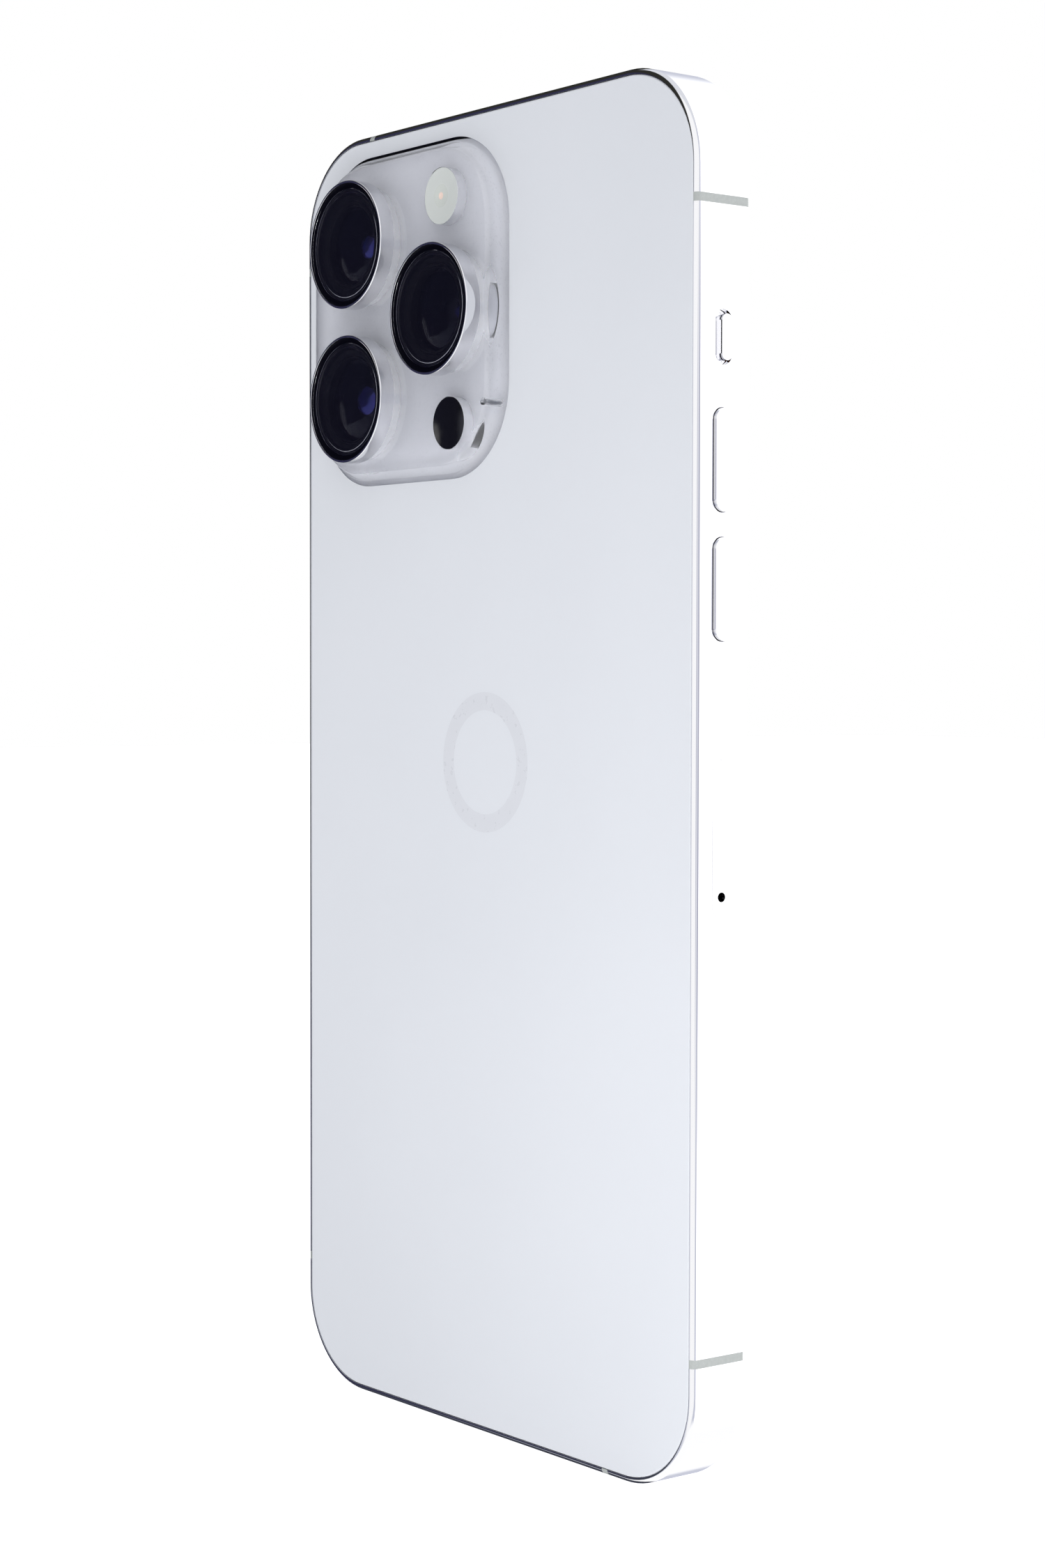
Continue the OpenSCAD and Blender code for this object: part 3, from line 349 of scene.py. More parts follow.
def shade(made, sharp=35):
    """Smooth shading that keeps flat faces flat and sharp edges sharp."""
    mesh = made.data
    mesh.polygons.foreach_set("use_smooth", [True] * len(mesh.polygons))
    mesh.set_sharp_from_angle(angle=math.radians(sharp))
    if "even_normals" not in made.modifiers:
        even = made.modifiers.new("even_normals", "WEIGHTED_NORMAL")
        even.keep_sharp = True


def carve(made, tool, how="DIFFERENCE", sharp=35, place=None):
    """Takes a tool's shape out of a piece, or keeps only what both share, and discards the tool."""
    if place is not None:
        bmesh.ops.transform(tool, matrix=place, verts=tool.verts)
    mesh = bpy.data.meshes.new("tool")
    tool.to_mesh(mesh)
    tool.free()
    cutter = bpy.data.objects.new("tool", mesh)
    bpy.context.scene.collection.objects.link(cutter)
    made.modifiers.clear()
    boolean = made.modifiers.new("carve", "BOOLEAN")
    boolean.operation = how
    boolean.solver = "EXACT"
    boolean.object = cutter
    bpy.context.view_layer.update()
    result = bpy.data.meshes.new_from_object(made.evaluated_get(bpy.context.evaluated_depsgraph_get()))
    made.modifiers.clear()
    old, made.data = made.data, result
    result.name = old.name
    bpy.data.meshes.remove(old)
    bpy.data.objects.remove(cutter)
    shade(made, sharp)
    return made


print("modelling tools ready")

# %% [markdown]
# ## Tools for finishes
# Every finish starts from the Principled shader and then gets what a real surface has: a grain, a
# faint change of colour, a roughness that is not the same everywhere. The patterns read Object
# coordinates, which are metres here, so a pattern's size is a real size: `grain(material, 0.2)` has
# features about 0.2 mm across.

# %% Finish helpers
def finish(name, colour, roughness=0.5, metallic=0.0, **sockets):
    """A Principled finish. Further sockets are given by name, with spaces as underscores."""
    material = bpy.data.materials.new(name)
    material.use_nodes = True
    shader = material.node_tree.nodes["Principled BSDF"]
    shader.inputs["Base Color"].default_value = (*colour, 1)
    shader.inputs["Roughness"].default_value = roughness
    shader.inputs["Metallic"].default_value = metallic
    for key, value in sockets.items():
        shader.inputs[key.replace("_", " ")].default_value = value
    return material


def node(material, kind, **settings):
    made = material.node_tree.nodes.new(kind)
    for key, value in settings.items():
        setattr(made, key, value)
    return made


def wire(material, source, target):
    material.node_tree.links.new(source, target)


def shader_of(material):
    return material.node_tree.nodes["Principled BSDF"]


def grain(material, size, detail=3, stretch=(1, 1, 1)):
    """Noise with features about size millimetres across, stretched along the axes."""
    place = node(material, "ShaderNodeTexCoord").outputs["Object"]
    scale = node(material, "ShaderNodeMapping", vector_type="POINT")
    scale.inputs["Scale"].default_value = stretch
    wire(material, place, scale.inputs["Vector"])
    noise = node(material, "ShaderNodeTexNoise")
    noise.inputs["Scale"].default_value = 1 / (size * MM)
    noise.inputs["Detail"].default_value = detail
    wire(material, scale.outputs["Vector"], noise.inputs["Vector"])
    return noise.outputs["Fac"]


def spread(material, pattern, low, high, start=0.3, end=0.7):
    """Maps a pattern's middle range to two values."""
    ramp = node(material, "ShaderNodeMapRange")
    ramp.inputs["From Min"].default_value = start
    ramp.inputs["From Max"].default_value = end
    ramp.inputs["To Min"].default_value = low
    ramp.inputs["To Max"].default_value = high
    wire(material, pattern, ramp.inputs["Value"])
    return ramp.outputs["Result"]


def vary_roughness(material, pattern, low, high):
    wire(material, spread(material, pattern, low, high), shader_of(material).inputs["Roughness"])


def tint(material, pattern, dark, light_colour, start=0.3, end=0.7):
    """Mixes two colours by a pattern into the base colour."""
    mix = node(material, "ShaderNodeMix", data_type="RGBA")
    wire(material, spread(material, pattern, 0, 1, start, end), mix.inputs["Factor"])
    mix.inputs["A"].default_value = (*dark, 1)
    mix.inputs["B"].default_value = (*light_colour, 1)
    wire(material, mix.outputs["Result"], shader_of(material).inputs["Base Color"])
    return mix


def relief(material, pattern, depth, strength=1.0):
    """Bump of a pattern whose full range is depth millimetres."""
    bump = node(material, "ShaderNodeBump")
    bump.inputs["Strength"].default_value = strength
    bump.inputs["Distance"].default_value = depth * MM
    wire(material, pattern, bump.inputs["Height"])
    wire(material, bump.outputs["Normal"], shader_of(material).inputs["Normal"])


print("finish tools ready")

# %% [markdown]
# ## Outside finishes
# Polished stainless steel is a mirror with hairline scratches that only show as slightly duller
# streaks. The back is glass twice over: acid-etched beside the camera, where a fine grain scatters
# the light, and polished to full clarity over the camera plateau, where one looks into it and sees
# the coloured coat on its underside.

# %% Steel, glass and coat
steel = finish("polished_steel", (0.83, 0.83, 0.85), 0.06, 1.0)
vary_roughness(steel, grain(steel, 0.5, 4, (1, 1, 6)), 0.03, 0.09)
relief(steel, grain(steel, 0.3, 2), 0.0002, 0.3)

frosted = finish("etched_glass", (0.64, 0.66, 0.695), 0.42)
tint(frosted, grain(frosted, 45, 2), (0.63, 0.65, 0.685), (0.65, 0.67, 0.705))
vary_roughness(frosted, grain(frosted, 0.25, 4), 0.36, 0.46)
relief(frosted, grain(frosted, 0.12, 2), 0.0012, 0.35)

clear_glass = finish("polished_glass", (0.985, 0.99, 1.0), 0.02, Transmission_Weight=1.0, IOR=1.5)
vary_roughness(clear_glass, grain(clear_glass, 2.0, 3), 0.0, 0.02)

coat = finish("back_coat", (0.91, 0.925, 0.99), 0.3)
tint(coat, grain(coat, 0.15, 2), (0.90, 0.915, 0.98), (0.92, 0.935, 1.0))
vary_roughness(coat, grain(coat, 0.3, 2), 0.25, 0.4)

mark_finish = finish("mark_finish", (0.60, 0.615, 0.65), 0.3)
vary_roughness(mark_finish, grain(mark_finish, 0.8, 3), 0.26, 0.36)

break_plastic = finish("break_plastic", (0.36, 0.38, 0.37), 0.45)
tint(break_plastic, grain(break_plastic, 0.4, 3), (0.34, 0.36, 0.35), (0.38, 0.40, 0.39))
relief(break_plastic, grain(break_plastic, 0.08, 2), 0.001, 0.4)
print("outside finishes:", [m.name for m in (steel, frosted, clear_glass, coat, mark_finish, break_plastic)])

# %% [markdown]
# ## Steel band
# The band is the phone's skeleton: one section swept round a rounded rectangle. The section is a
# wall with rounded outer edges and a step at each side that a sheet of glass drops into. As a loft
# it is eight rings, each given by how far it is set in and how deep it lies. The two outer rings
# are then rounded, and the holes for keys, tray, port and sound are carved.

# %% Band blank
CORNER_STEPS = 20
BACK_POCKET = 0.9 * MM
FRONT_POCKET = 0.8 * MM
POCKET_IN = EDGE_R + 0.01 * MM


def outline(inset, z):
    """The body's outline set in by a distance, at a height."""
    return (WIDTH - 2 * inset, HEIGHT - 2 * inset, CORNER_R - inset, z)


def band_blank():
    """The whole band before anything is cut."""
    rings = [outline(0, 0), outline(0, -THICK), outline(POCKET_IN, -THICK),
             outline(POCKET_IN, FRONT_POCKET - THICK), outline(WALL, FRONT_POCKET - THICK),
             outline(WALL, -BACK_POCKET), outline(POCKET_IN, -BACK_POCKET), outline(POCKET_IN, 0)]
    bm, loops = loft(rings, CORNER_STEPS, closed=True)
    return round_off(bm, loops[0] + loops[1], EDGE_R, 7)


band = piece("steel_band_polished", band_blank(), [steel], place=ON_BACK)
breaks = piece("plastic_breaks", band_blank(), [break_plastic], place=ON_BACK)
print("band blank faces:", len(band.data.polygons))

# %% [markdown]
# Six plastic strips split the band into antennas. They have exactly the band's section, so both
# pieces come from the same blank: the strips keep what lies inside six thin slabs, and the band
# keeps the rest.

# %% Plastic breaks
BREAK_W = 1.0 * MM
SIDE_BREAK = 15.75 * MM
TOP_BREAK_X = -23.9 * MM
BOTTOM_BREAK_X = 23.3 * MM


def break_slabs():
    """Six slabs across the band."""
    bm = bmesh.new()
    across = Vector((8 * MM, 2 * THICK, BREAK_W))
    along = Vector((BREAK_W, 2 * THICK, 8 * MM))
    spots = [((sx * WIDTH / 2, MIDDLE, z), across)
             for sx in (-1, 1) for z in (SIDE_BREAK, HEIGHT - SIDE_BREAK)]
    spots += [((TOP_BREAK_X, MIDDLE, HEIGHT), along), ((BOTTOM_BREAK_X, MIDDLE, 0), along)]
    for spot, size in spots:
        bmesh.ops.create_cube(bm, size=1, matrix=Matrix.Translation(spot) @ Matrix.Diagonal((*size, 1)))
    return bm


carve(band, break_slabs())
carve(breaks, break_slabs(), "INTERSECT")
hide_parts("antenna_breaks")
print("break faces:", len(breaks.data.polygons))

# %% [markdown]
# A key's slot follows the key's own pill shape with a hairline of clearance, and so does the slot
# of the card tray. `pill` gives the two rings of such a shape, and `opening` cuts it through the
# wall on one side.

# %% Openings in the band
KEY_GAP = 0.06 * MM
CUT_DEEP = 5 * MM
MOUTH = 0.12 * MM
SWITCH_MOUTH = 0.02 * MM
TRAY_MOUTH = 0.03 * MM
TRAY_GAP = 0.015 * MM
FLANGE_LIP = 0.8 * MM
FLANGE_REACH = 1.4 * MM
key_w = extent("volume_up").y - FLANGE_LIP
volume_len = extent("volume_up").z - FLANGE_REACH
side_len = extent("side_button").z - FLANGE_REACH
tray_low, tray_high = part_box("sim_tray")
TRAY_LEN = 17.6 * MM
TRAY_W = tray_high.y - tray_low.y
SWITCH_SLOT = (2.5 * MM, 6.1 * MM)
SLIDER = (extent("ring_switch").y, extent("ring_switch").z)
SWITCH_CAP_W = 1.55 * MM
BUTTON_GAP = 0.12 * MM
SWITCH_TRAVEL = SWITCH_SLOT[0] - SWITCH_CAP_W - 2 * BUTTON_GAP
SWITCH_WALL = 0.7 * MM
PORT = (8.4 * MM, 2.7 * MM)


def pill(width, height, z):
    """A pill-shaped ring."""
    return (width, height, PILL * 2 * min(width, height) / 2, z)


def opening(side, width, height, z_at, mouth, steps=12):
    """Cuts a pill-shaped opening through one side wall, a little flared at its mouth."""
    sign = 1 if side == "right" else -1
    wide, tall = width + 2 * mouth, height + 2 * mouth
    tool, _ = loft([pill(width, height, -CUT_DEEP), pill(width, height, -mouth),
                    pill(wide, tall, 0), pill(wide, tall, CUT_DEEP)], steps)
    carve(band, tool, place=put(side, sign * WIDTH / 2, MIDDLE, z_at))


for key in ("volume_up", "volume_down"):
    opening("right", key_w + 2 * KEY_GAP, volume_len + 2 * KEY_GAP, middle(key).z, MOUTH)
opening("left", key_w + 2 * KEY_GAP, side_len + 2 * KEY_GAP, middle("side_button").z, MOUTH)
opening("right", *SWITCH_SLOT, middle("ring_switch").z, SWITCH_MOUTH)
opening("right", TRAY_W + 2 * TRAY_GAP, TRAY_LEN + 2 * TRAY_GAP, middle("sim_tray").z, TRAY_MOUTH)
pocket_size = (SLIDER[0] + SWITCH_TRAVEL + 2 * BUTTON_GAP, SLIDER[1] + 2 * BUTTON_GAP, 0.9 * MM)
pocket, _ = loft([(*pocket_size, z) for z in (-CUT_DEEP, -SWITCH_WALL)], 8)
carve(band, pocket, place=put("right", WIDTH / 2, MIDDLE, middle("ring_switch").z))
print("band faces with side openings:", len(band.data.polygons))

# %% [markdown]
# The bottom edge has the charging port in the middle, a screw each side of it, and two rows of
# drilled holes. One row breathes for the loudspeaker, the other for the microphone, and both are
# drilled from the same pitch.

# %% Openings in the bottom edge
SOUND_D = 1.5 * MM
SOUND_PITCH = 2.2 * MM
SOUND_START = 11.6 * MM
SPEAKER_HOLES, MIC_HOLES = 7, 5
SCREW_X = 8.2 * MM
SCREW_HOLE_D = 1.8 * MM
SHANK_HOLE_D = 1.1 * MM

port_tool, _ = loft([pill(*PORT, -CUT_DEEP), pill(*PORT, CUT_DEEP)], 12)
carve(band, port_tool, place=put("bottom", 0, MIDDLE, 0))

drill = bmesh.new()
holes = [-SOUND_START - i * SOUND_PITCH for i in range(SPEAKER_HOLES)]
holes += [SOUND_START + i * SOUND_PITCH for i in range(MIC_HOLES)]
for x in holes:
    bmesh.ops.create_cone(drill, cap_ends=True, segments=28, radius1=SOUND_D / 2, radius2=SOUND_D / 2,
                          depth=10 * MM, matrix=Matrix.Translation((x, MIDDLE, 0)))
for sx in (-1, 1):
    for diameter, low, high in ((SCREW_HOLE_D, -1 * MM, 1.5 * MM), (SHANK_HOLE_D, 1 * MM, 5 * MM)):
        spot = Matrix.Translation((sx * SCREW_X, MIDDLE, (low + high) / 2))
        bmesh.ops.create_cone(drill, cap_ends=True, segments=28, radius1=diameter / 2, radius2=diameter / 2,
                              depth=high - low, matrix=spot)
carve(band, drill)
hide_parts("steel_band")
print("band faces:", len(band.data.polygons))

# %% [markdown]
# ## Back glass
# The back is a single sheet of glass with a thick clear block over the cameras. Sheet and block are
# one loft: the sheet's underside, its rim, then a steep slope up to the block's top. A bevel on the
# hollow corner at the foot of the slope makes it run out softly, and a bevel on the upper corner
# gives the rounded rim. Three finishes share the mesh: etched outside, polished on the block, and the
# coloured coat on the underside, which shows through the block.

# %% Sheet and camera block
SHEET_T = 0.8 * MM
GLASS_GAP = 0.05 * MM
BLOCK = (38 * MM, 39.3 * MM, 10.2 * MM)
BLOCK_RISE = 2.17 * MM
BLOCK_EDGE = 0.75 * MM
BLOCK_FOOT = 0.9 * MM
BLOCK_SLOPE = math.radians(62)
BLOCK_SIDE, BLOCK_TOP = 4.5 * MM, 3.9 * MM
block_at = (-WIDTH / 2 + BLOCK_SIDE + BLOCK[0] / 2, HEIGHT / 2 - BLOCK_TOP - BLOCK[1] / 2)



def block_ring(z):
    """The block's outline at a height, where its sloping side would be without the rounded edges."""
    half_up = (BLOCK_RISE + (BLOCK_FOOT - BLOCK_EDGE) * (1 - math.cos(BLOCK_SLOPE))) / 2
    out = (half_up - z) / math.tan(BLOCK_SLOPE)
    width, height, radius = BLOCK
    return (width + 2 * out, height + 2 * out, radius + out, z, *block_at)


sheet_in = EDGE_R + GLASS_GAP
glass, loops = loft([outline(sheet_in, -SHEET_T), outline(sheet_in, 0),
                     block_ring(0), block_ring(BLOCK_RISE)], CORNER_STEPS)
round_off(glass, loops[2], BLOCK_FOOT * math.tan(BLOCK_SLOPE / 2), 16)
top_rim = [e for e in glass.edges if e.calc_face_angle(0) > BLOCK_SLOPE - 0.1
           and all(abs(v.co.z - BLOCK_RISE) < 1e-7 for v in e.verts)]
round_off(glass, top_rim, BLOCK_EDGE * math.tan(BLOCK_SLOPE / 2), 16)
round_off(glass, rim_at(glass, 0), 0.22 * MM, 4)
POLISHED, COATED = 1, 2
for face in glass.faces:
    if face.calc_center_median().z > 0.004 * MM:
        face.material_index = POLISHED
    elif face.normal.z < -0.9:
        face.material_index = COATED
back_glass = piece("rear_glass", glass, [frosted, clear_glass, coat], place=ON_BACK)
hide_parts("back_glass")
# A thin collar of the coat closes off the view under the etched glass round the block.
FOOT_OUT = 1.6 * MM
COLLAR_T = 0.3 * MM
COLLAR_GAP = 0.02 * MM
inner, outer = [(BLOCK[0] + 2 * out, BLOCK[1] + 2 * out, BLOCK[2] + out)
                for out in (FOOT_OUT, FOOT_OUT + COLLAR_T)]
under, over = -SHEET_T + COLLAR_GAP, -COLLAR_GAP
collar_rings = ((inner, under), (inner, over), (outer, over), (outer, under))
collar, _ = loft([(*ring, z, *block_at) for ring, z in collar_rings], CORNER_STEPS, closed=True)
piece("coat_collar", collar, [coat], place=ON_BACK)
print("rear glass faces:", len(back_glass.data.polygons))

# %% [markdown]
# The block is bored for three lens rings, the flash, the depth sensor and a microphone. The plain
# ring in the middle of the back is let into the sheet by a hair's breadth.

# %% Bores in the glass
BORE_GAP = 0.05 * MM
SPIGOT_R = 7.5 * MM
MIC_HOLE_R = 0.45 * MM
LENSES = ("tele", "main", "wide")


def bore(at, radius, low, high, steps=64):
    """A cylinder drawn on the back at a part's place."""
    bm = bmesh.new()
    spot = Matrix.Translation((at.x, at.z - HEIGHT / 2, (low + high) / 2))
    bmesh.ops.create_cone(bm, cap_ends=True, segments=steps, radius1=radius, radius2=radius,
                          depth=high - low, matrix=spot)
    for face in bm.faces:
        face.material_index = POLISHED
    return bm


for lens in LENSES:
    carve(back_glass, bore(middle("ring_" + lens), SPIGOT_R + BORE_GAP, -3 * MM, 6 * MM, 96), place=ON_BACK)
for window in ("flash_window", "depth_window"):
    carve(back_glass, bore(middle(window), extent(window).x / 2 + BORE_GAP, -3 * MM, 6 * MM), place=ON_BACK)
carve(back_glass, bore(middle("rear_mic"), MIC_HOLE_R, -3 * MM, 6 * MM, 32), place=ON_BACK)

mark_at = middle("back_emblem")
MARK_R = extent("back_emblem").x / 2
MARK_HOLE_R = 6.3 * MM
MARK_DEEP = extent("back_emblem").y
mark_xy = (mark_at.x, mark_at.z - HEIGHT / 2)


def mark_turned(top):
    """The mark's ring up to a height."""
    profile = [(MARK_HOLE_R, -MARK_DEEP), (MARK_R, -MARK_DEEP), (MARK_R, top), (MARK_HOLE_R, top)]
    return turn(profile, 96, mark_xy)


carve(back_glass, mark_turned(1 * MM), place=ON_BACK)
mark = mark_turned(0)
mark_ring = piece("mark_ring", mark, [mark_finish], place=ON_BACK)
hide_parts("back_emblem")
print("rear glass faces with bores:", len(back_glass.data.polygons))

# %% [markdown]
# ## Black and clear finishes for the cameras
# Inside a lens everything is black, yet no two blacks are alike: printed ink, anodised metal with a
# turned grain, and coated glass that reflects a trace of violet and blue.

# %% Camera finishes
ink = finish("black_ink", (0.004, 0.004, 0.006), 0.12, Specular_IOR_Level=0.4)
vary_roughness(ink, grain(ink, 0.6, 3), 0.08, 0.16)
anodised = finish("black_anodised", (0.012, 0.012, 0.014), 0.32, 0.6)
vary_roughness(anodised, grain(anodised, 0.2, 3, (1, 8, 1)), 0.25, 0.4)
relief(anodised, grain(anodised, 0.08, 2), 0.0015, 0.4)
bright_chamfer = finish("bright_chamfer", (0.30, 0.30, 0.33), 0.12, 1.0)
vary_roughness(bright_chamfer, grain(bright_chamfer, 0.4, 3), 0.08, 0.2)
cover_glass = finish("cover_glass", (0.97, 0.98, 1.0), 0.0, Transmission_Weight=1.0, IOR=1.46)
vary_roughness(cover_glass, grain(cover_glass, 3.0, 2), 0.0, 0.012)
lens_coating = finish("lens_coating", (0.45, 0.47, 0.55), 0.02, Transmission_Weight=1.0, IOR=1.14,
                      Specular_Tint=(0.6, 0.62, 0.9, 1))
vary_roughness(lens_coating, grain(lens_coating, 2.0, 2), 0.01, 0.05)
pupil_coating = finish("pupil_coating", (0.09, 0.10, 0.40), 0.08, 0.6)
tint(pupil_coating, grain(pupil_coating, 1.2, 2), (0.07, 0.09, 0.36), (0.14, 0.11, 0.46))
flash_plastic = finish("flash_diffuser", (0.60, 0.63, 0.61), 0.35, Transmission_Weight=0.1, IOR=1.45)
vary_roughness(flash_plastic, grain(flash_plastic, 0.3, 3), 0.28, 0.45)
flash_ring = finish("flash_ring", (0.54, 0.57, 0.54), 0.35)
vary_roughness(flash_ring, grain(flash_ring, 0.3, 3), 0.28, 0.45)
flash_centre = finish("flash_centre", (0.78, 0.60, 0.52), 0.4)
tint(flash_centre, grain(flash_centre, 0.25, 3), (0.74, 0.56, 0.48), (0.82, 0.66, 0.58))
throat_black = finish("throat_black", (0.003, 0.003, 0.004), 0.7, Specular_IOR_Level=0.05)
vary_roughness(throat_black, grain(throat_black, 0.3, 3, (1, 6, 1)), 0.62, 0.78)
clear_plastic = finish("clear_plastic", (0.96, 0.98, 0.97), 0.04, Transmission_Weight=1.0, IOR=1.49)
vary_roughness(clear_plastic, grain(clear_plastic, 1.0, 2), 0.0, 0.05)
phosphor = finish("led_phosphor", (0.95, 0.75, 0.55), 0.6)
tint(phosphor, grain(phosphor, 0.25, 3), (0.93, 0.70, 0.48), (0.98, 0.84, 0.68))
print("camera finishes ready")

# %% [markdown]
# ## Lens assemblies
# From outside in: a polished steel ring, a flat cover glass with a printed black border, a black
# throat with two thin bright turned ridges, and the focusing barrel with its domed front element and
# a coated inner one.
# Each is a lathe profile. The three assemblies differ in place, and in the size of the glass that
# they carry, so one loop makes all three.

# %% Lens rings and cover glasses
RING_R = extent("ring_main").x / 2
RIM_W = 0.3 * MM
RING_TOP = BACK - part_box("ring_main")[0].y
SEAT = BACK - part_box("cover_main")[1].y
COVER_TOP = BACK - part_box("cover_main")[0].y
COVER_R = extent("cover_main").x / 2
THROAT_R = 7.02 * MM
INK_IN = 7.06 * MM
BORE_R = 6.4 * MM


def lathe_place(part):
    """Where a lathe shape on the back goes, for a part's own middle."""
    at = middle(part)
    return put("back", at.x, BACK, at.z)


def circle(bm, radius, z):
    """Edges of a turned shape that run round it at a radius and a height."""
    return [e for e in bm.edges
            if all(abs(v.co.xy.length - radius) < 1e-6 and abs(v.co.z - z) < 1e-6 for v in e.verts)]


for lens in LENSES:
    here = lathe_place("ring_" + lens)
    profile = [(BORE_R, -SHEET_T), (SPIGOT_R, -SHEET_T), (SPIGOT_R, BLOCK_RISE), (RING_R, BLOCK_RISE),
               (RING_R, RING_TOP), (RING_R - RIM_W, RING_TOP), (RING_R - RIM_W, SEAT),
               (THROAT_R, SEAT), (THROAT_R, 2.9 * MM), (BORE_R, 2.9 * MM)]
    ring = turn(profile, 128)
    round_off(ring, circle(ring, RING_R, RING_TOP), 0.12 * MM, 4)
    round_off(ring, circle(ring, RING_R - RIM_W, RING_TOP), 0.03 * MM, 2)
    ring = piece("lens_ring_" + lens, ring, [steel], place=here)
    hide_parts("ring_" + lens)
    disc = [(0, SEAT), (INK_IN, SEAT), (COVER_R, SEAT), (COVER_R, COVER_TOP), (0, COVER_TOP)]
    cover = soften(turn(disc, 128), 0.03 * MM, 2)
    for face in cover.faces:
        if face.calc_center_median().xy.length > INK_IN and face.normal.z < -0.9:
            face.material_index = 1
    cover = piece("lens_cover_" + lens, cover, [cover_glass, ink], place=here)
    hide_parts("cover_" + lens)
print("lens rings:", LENSES, " ring radius in mm:", round(RING_R / MM, 2))

# %% Throats and barrels
GLASS_R = {"tele": 4.9 * MM, "main": 5.2 * MM, "wide": 5.0 * MM}
PUPIL_R = {"tele": 1.35 * MM, "main": 1.74 * MM, "wide": 1.0 * MM}
PUPIL_DEEP = {"tele": 1.3 * MM, "main": 1.1 * MM, "wide": 2.4 * MM}
BARREL_R = extent("barrel_main").x / 2
BARREL_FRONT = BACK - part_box("barrel_main")[0].y
BARREL_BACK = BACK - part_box("barrel_main")[1].y
THROAT_IN = BARREL_R + 0.07 * MM
print("barrel radius in mm:", round(BARREL_R / MM, 2))
for lens in LENSES:
    here = lathe_place("ring_" + lens)
    steps_in = [(7.00, -0.05), (6.98, -0.03), (6.94, -0.03), (6.90, -0.10), (6.72, -0.42), (6.62, -0.42),
                (6.56, -0.12), (6.50, -0.10), (6.44, -0.16), (6.30, -0.60), (5.95, -0.66)]
    throat = turn([(BORE_R - 0.05 * MM, -0.5 * MM), (BORE_R - 0.05 * MM, 2.92 * MM), (7.0 * MM, 2.92 * MM)]
                  + [(r * MM, SEAT + z * MM) for r, z in steps_in]
                  + [(THROAT_IN, SEAT - 0.72 * MM), (THROAT_IN, -0.5 * MM)], 128)
    for face in throat.faces:
        away = face.calc_center_median().xy.length
        if 6.96 * MM < away < 6.99 * MM or 6.50 * MM < away < 6.54 * MM:
            face.material_index = 1
        elif 6.56 * MM < away < 6.90 * MM and face.normal.z > 0.1:
            face.material_index = 2
    piece("lens_throat_" + lens, throat, [throat_black, bright_chamfer, anodised],
          place=here, sharp=25)

    front, glass_r = BARREL_FRONT, GLASS_R[lens]
    barrel = turn([(0, BARREL_BACK), (BARREL_R, BARREL_BACK), (BARREL_R, front),
                   (BARREL_R - 0.1 * MM, front),
                   (glass_r + 0.08 * MM, front - 0.12 * MM), (glass_r + 0.08 * MM, front - 1.2 * MM),
                   (glass_r - 0.4 * MM, front - 1.3 * MM), (2.2 * MM, front - 2.6 * MM),
                   (1.5 * MM, front - 2.7 * MM), (1.2 * MM, front - 4.2 * MM), (0, front - 4.2 * MM)], 96)
    barrel = piece("lens_barrel_" + lens, soften(barrel, 0.03 * MM, 2), [throat_black],
                   body="barrel_" + lens, place=here)
    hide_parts("barrel_" + lens)

    dome = bmesh.new()
    bmesh.ops.create_uvsphere(dome, u_segments=96, v_segments=64, radius=1)
    bmesh.ops.bisect_plane(dome, geom=dome.verts[:] + dome.edges[:] + dome.faces[:], dist=1e-6,
                           plane_co=(0, 0, 0), plane_no=(0, 0, -1), clear_outer=True)
    rim = [e for e in dome.edges if e.is_boundary]
    bmesh.ops.contextual_create(dome, geom=rim)
    bmesh.ops.scale(dome, vec=(glass_r, glass_r, 0.85 * MM), verts=dome.verts)
    bmesh.ops.translate(dome, vec=(0, 0, front - 1.15 * MM), verts=dome.verts)
    bmesh.ops.recalc_face_normals(dome, faces=dome.faces)
    piece("lens_element_" + lens, dome, [lens_coating], body="barrel_" + lens, place=here)
    deep = front - 1.3 * MM - PUPIL_DEEP[lens]
    pupil = turn([(0, deep - 0.3 * MM), (PUPIL_R[lens], deep - 0.3 * MM), (PUPIL_R[lens], deep),
                  (0.8 * PUPIL_R[lens], deep + 0.18 * MM), (0.4 * PUPIL_R[lens], deep + 0.3 * MM),
                  (0, deep + 0.34 * MM)], 64)
    piece("lens_pupil_" + lens, pupil, [pupil_coating], body="barrel_" + lens, place=here)
print("throats, barrels and front elements made")

# %% [markdown]
# ## Flash and depth sensor
# The flash is a clear plastic plug in the glass. Its face is frosted and carries fine concentric
# grooves, and at the bottom of the plug sits a warm light source. The depth sensor is a plain black
# window.

# %% Flash and depth sensor
flash_r = extent("flash_window").x / 2
flash_place = lathe_place("flash_window")
plug_top = BLOCK_RISE - 0.35 * MM
plug = turn([(0, -SHEET_T), (flash_r, -SHEET_T), (flash_r, plug_top), (0, plug_top)], 96)
plug = piece("flash_light_guide", soften(plug, 0.05 * MM, 2), [clear_plastic],
             place=flash_place)
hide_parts("flash_window")
GROOVES = 9
face_low = BLOCK_RISE - 0.33 * MM
face_line = [(0, face_low), (flash_r, face_low), (flash_r, BLOCK_RISE - 0.05 * MM)]
for i in range(GROOVES, 0, -1):
    r = (flash_r - 0.5 * MM) * i / GROOVES
    face_line += [(r + 0.12 * MM, BLOCK_RISE - 0.02 * MM), (r, BLOCK_RISE - 0.07 * MM)]
face_line += [(0, BLOCK_RISE - 0.02 * MM)]
diffuser = turn(face_line, 96)
for face in diffuser.faces:
    away = face.calc_center_median().xy.length
    face.material_index = 2 if away < 0.5 * MM else 1 if away < 1.4 * MM else 0
piece("flash_face", diffuser, [flash_plastic, flash_ring, flash_centre],
      place=flash_place, sharp=50)
